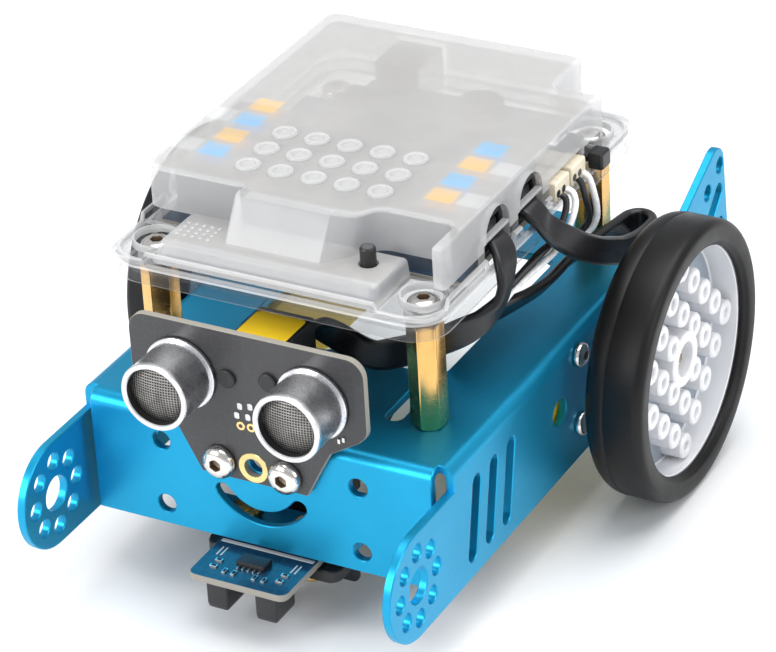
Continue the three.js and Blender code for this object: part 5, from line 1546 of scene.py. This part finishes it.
@dataclass(frozen=True)
class Case:
    """Frosted tray and cover."""

    wall: float = 1.6
    foot: float = 75.2

    def tray(self) -> None:
        """Shallow tray: outside wall, rolled rim, inside wall and floor as one run of rings, with four screw holes."""
        front, rear = 7.2, 108.5
        cx, cy, hx, hy = 0.0, (front + rear) / 2, 40.0, (rear - front) / 2
        floor, top = CASE_FLOOR, TRAY_TOP
        skin = Skin(FROST_WALL_PAINTED_SHADE, FROST_EDGE_PAINTED_HIGHLIGHT)
        rows = [(1.0, floor), (0.3, floor + 0.3), (0, floor + 1.0), (0, top - 0.4), (0.3, top), (self.wall - 0.3, top),
                (self.wall, top - 0.3), (self.wall, floor + self.wall + 0.6), (self.wall + 0.6, floor + self.wall)]
        loops = [rounded_rect(cx, cy, hx - e, hy - e, 8.5 - e, 10) for e, _ in rows]
        # Rim and edge bands take the brighter copy, a painted highlight; the walls and floor take the darker copy,
        # painted shade.
        skin.walls(loops, [h for _, h in rows], mark=[1, 0, 0, 1, 1, 1, 0, 0])
        holes = [circle(POST_X * s, y, SCREW_HOLE) for s in (1, -1) for y in POST_Y]
        inside = floor + self.wall
        skin.fill([loops[0], *holes], floor).fill([loops[-1], *holes], inside)
        boss = [(4.3, floor + 1.5), (4.2, inside + BOSS - 0.3), (3.9, inside + BOSS), (2.3, inside + BOSS),
                (SCREW_HOLE, floor + 1.6), (4.3, floor + 1.5)]
        for hole in holes:
            skin.walls([hole, hole], (floor, inside), mark=1)
            skin.turn(boss, Axis.Z, (*hole.mean(0), 0), 36, 1, closed=False)
        skin.piece("case tray", "case_tray")

    def side_wall(self, side: int) -> list[tuple[float, float, float, float]]:
        """Points up one side wall, from front to rear, with the height where each one's wall starts.

        A port's notch rises to a flat, then to the round arch sqrt(r^2 - d^2) above its centre.
        """
        x, foot, arch = 38.4 * side, self.foot, 5.4
        rows: list[tuple[float, float, float, float]] = []
        for y in JACK_Y:
            rows += [(x, y - 6.42, 0, foot), (x, y - 6.38, 0, 80.9), (x, y - 5.42, 0, 80.9)]
            across = arch * np.sin(np.linspace(-1.57, 1.57, 17))
            rows += [(x, y + d, 0, 81.8 + math.sqrt(max(0.0, arch**2 - d * d))) for d in across]
            rows += [(x, y + 5.44, 0, foot)]
        if side > 0:
            rows += [(x, 64.6, 0, foot), (x, 64.64, 0, 81.6), (x, 80.56, 0, 81.6), (x, 80.6, 0, foot),
                     (x, 82.0, 0, foot), (x, 82.04, 0, 81.2), (x, 90.16, 0, 81.2), (x, 90.2, 0, foot)]
        return rows

    def plan(self, z: float, distance: float) -> np.ndarray:
        """Outline of the raised part of the cover at a height: its front panel leans back as it rises."""
        lean = np.interp(z, [self.foot, 79.6, COVER_TOP], [13.5, 15.3, 21.8])
        flank = max(lean, 15.4)
        f = self.foot
        corners = [
            (-38.4, 24.5, 4, f), (-14.0, 24.5, 1.2, f), (-14.0, lean, 1.0, f), (9.2, lean, 0.8, f),
            (9.6, flank + 0.3, 0.5, f), (15.0, max(flank + 0.4, 22.0), 1.6, f), (18.0, 26.8, 3.0, f),
            (35.4, 26.8, 3.0, f), (35.4, 16.0, 0.8, f), (38.4, 16.0, 0.8, f), *self.side_wall(1), (38.4, 91.8, 0.5, f),
            (26.5, 91.8, 2.5, f), (26.5, 107.6, 2.5, f), (-5.0, 107.6, 0, f), (-7.5, 107.6, 0, f),
            (-7.54, 107.6, 0, 87.0), (-20.46, 107.6, 0, 87.0), (-20.5, 107.6, 0, f), (-38.4, 107.6, 4, f),
            *self.side_wall(-1)[::-1],
        ]
        return filleted(corners, distance)

    def shell(self, skin: Skin, plan: Callable[[float, float], np.ndarray], foot: float, top: float,
              levels: Sequence[float], holes: Sequence[np.ndarray] = ()) -> None:
        """Hollow lid: outer rings, a rounded shoulder, a top with holes, and the same again inside.

        Args:
            skin: where it goes; finishes 0, 1 and 2 are the top, the walls (a darker copy, painted shade) and the edges
                (a brighter copy, painted highlight).
            plan: outline at a height and an inset.
            foot: lowest height.
            top: highest height.
            levels: heights between them where the outline changes.
            holes: loops through the top.
        """
        soft = 1.1
        outer = [(foot, 0.0, 1), *((z, 0.0, 1) for z in levels), (top - soft, 0.0, 2)]
        outer += [(top - soft * (1 - math.sin(t)), soft * (1 - math.cos(t)), 2) for t in np.radians((25, 50, 72, 90))]
        inner = [(foot, self.wall, 1), *((z, self.wall, 1) for z in levels), (top - self.wall, self.wall, 1)]
        ends = []
        for rows in (outer, inner):
            grid = []
            for z, away, _ in rows:
                loop = plan(min(z, top), away)
                grid.append(np.column_stack([loop[:, :2], np.maximum(loop[:, 2], z)]))
            skin.rings(np.stack(grid), (False, False), [mark for _, _, mark in rows[1:]])
            ends.append((grid[0], grid[-1]))
        skin.rings(np.stack([ends[0][0], ends[1][0]]), (False, False), 2)
        for _, edge in ends:
            skin.fill([edge[:, :2], *holes], edge[0, 2])
        for hole in holes:
            skin.walls([hole, hole], (top - self.wall, top), mark=2)

    def cover(self) -> None:
        """Raised cover with its vents, front shelf, bays, skirt and arches."""
        skin = Skin(FROST_TOP, FROST_WALL_PAINTED_SHADE, FROST_EDGE_PAINTED_HIGHLIGHT)
        self.shell(skin, self.plan, self.foot, COVER_TOP, [79.6])

        def shelf(z: float, away: float) -> np.ndarray:
            """Outline of the front shelf, whose front and side walls lean inwards as they rise."""
            lean = np.interp(z, [self.foot, 80.0], [0.0, 2.0])
            x0, x1, y = -29.0 + lean * 0.8, 25.5 - lean * 0.3, 9.6 + lean
            return filleted([(x0, y, 2.2, self.foot), (x1, y, 2.2, self.foot), (x1, 25.4, 1.0, self.foot),
                             (x0, 25.4, 1.0, self.foot)], away)

        self.shell(skin, shelf, self.foot, 80.0, [], [circle(*BUTTON, SCREW_HOLE, 28)])
        # Vents, dots, ledges and bay lips take the brighter copy, a painted highlight.
        vent = [(2.9, -0.1), (2.9, 0.35), (2.65, 0.7), (2.2, 0.8), (1.75, 0.68), (1.5, 0.3), (1.3, 0.12), (0.1, 0.2)]
        vent = [(r, COVER_TOP + up) for r, up in vent]
        for row in range(3):
            for col in range(5):
                skin.turn(vent, Axis.Z, (GRID * (col - 2) - 1, 32.6 + GRID * row, 0), 24, 2)
        dot = [(0.5, 79.95), (0.5, 80.15), (0.3, 80.25), (0.05, 80.26)]
        for x in range(5):
            for y in range(4):
                skin.turn(dot, Axis.Z, (-25.2 + 1.9 * x, 15.2 + 1.7 * y, 0), 12, 2)
        for s in (1, -1):
            for y in JACK_Y:
                skin.block(sorted((36.9 * s, 38.35 * s)), (y - 5.3, y + 5.3), (80.95, 81.75), 0.1, 0.1, 2)
        low, high = self.foot, self.foot + 1.2
        bays = [
            [(-39.4, 7.8, 8.0, 0), (-29.1, 7.8, 0.2, 0), (-29.1, 24.4, 0.2, 0), (-39.4, 24.4, 0.2, 0)],
            [(25.6, 7.8, 0.2, 0), (39.4, 7.8, 8.0, 0), (39.4, 24.4, 0.2, 0), (25.6, 24.4, 0.2, 0)],
            [(26.6, 91.9, 0.2, 0), (39.4, 91.9, 0.2, 0), (39.4, 107.9, 8.0, 0), (26.6, 107.9, 0.2, 0)],
        ]
        for corners, x, y in zip(bays, (-POST_X, POST_X, POST_X), (POST_Y[0], POST_Y[0], POST_Y[1])):
            skin.plate([filleted(corners)[:, :2], circle(x, y, 4.6, 36)], low, high, edge=0.25, marks=(1, 2))
            lip = [(4.6, low), (4.6, high), (4.7, high + 0.35), (5.1, high + 0.4), (5.3, high - 0.1), (5.3, low),
                   (4.6, low)]
            skin.turn(lip, Axis.Z, (x, y, 0), 36, 2, closed=False)
        self.skirt(skin)
        skin.piece("case cover", "case_cover", sharp=35)

    def skirt(self, skin: Skin) -> None:
        """Flange round the cover's foot, low across the bays and cut down to nothing at the lead slots."""
        loop = rounded_rect(0, 57.85, 39.6, 50.25, 8.1, 12)
        fine = []
        for a, b in zip(loop, np.roll(loop, -1, 0)):
            parts = max(1, int(np.linalg.norm(b - a) / 0.8))
            fine.append(a + (b - a) * np.linspace(0, 1, parts, endpoint=False)[:, None])
        outer = np.concatenate(fine)
        x, y = outer.T
        high = np.full(len(outer), self.foot + 3.0)
        bay = ((x < -29.4) & (y < 23.6)) | ((x > 26) & (y < 15.4)) | ((x > 26.5) & (y > 91.8))
        high[bay] = self.foot + 1.25
        for at in JACK_Y:
            high[(np.abs(x) > 36) & (y > at - 6.4) & (y < at + 5.4)] = self.foot + 0.12
        high[(x > 36) & (y > 64.6) & (y < 91.2)] = self.foot + 0.12
        # The flange's edges take the brighter copy, a painted highlight, and its faces the darker copy, painted shade.
        steps = ((1.1, 0, 1), (0.0, 0, 2), (0.0, 0.8, 1), (0.25, 1, 2), (0.85, 1, 2), (1.1, 0.8, 2), (1.1, 0, 1))
        rings = [inset(outer, away) for away, _, _ in steps]
        heights = [self.foot + (high - self.foot) * lift for _, lift, _ in steps]
        skin.walls(rings, heights, mark=[mark for _, _, mark in steps[1:]])

    def build(self) -> None:
        """Make the tray and the cover."""
        self.tray()
        self.cover()


# ---------------------------------------------------------------------------- assembly


def main() -> None:
    """Build the studio and every part of the robot, in order."""
    logging.basicConfig(level=logging.INFO, format="%(name)s: %(message)s")
    Studio().build()
    builders: list[object] = [
        Leads(), Chassis(), Fasteners(), Drive("left", 1), Drive("right", -1), DistanceSensor(), LineSensor(), Caster(),
        Controller(), Case(),
    ]
    for builder in builders:
        log.info("building %s", type(builder).__name__)
        builder.build()


if __name__ == "__main__":
    main()
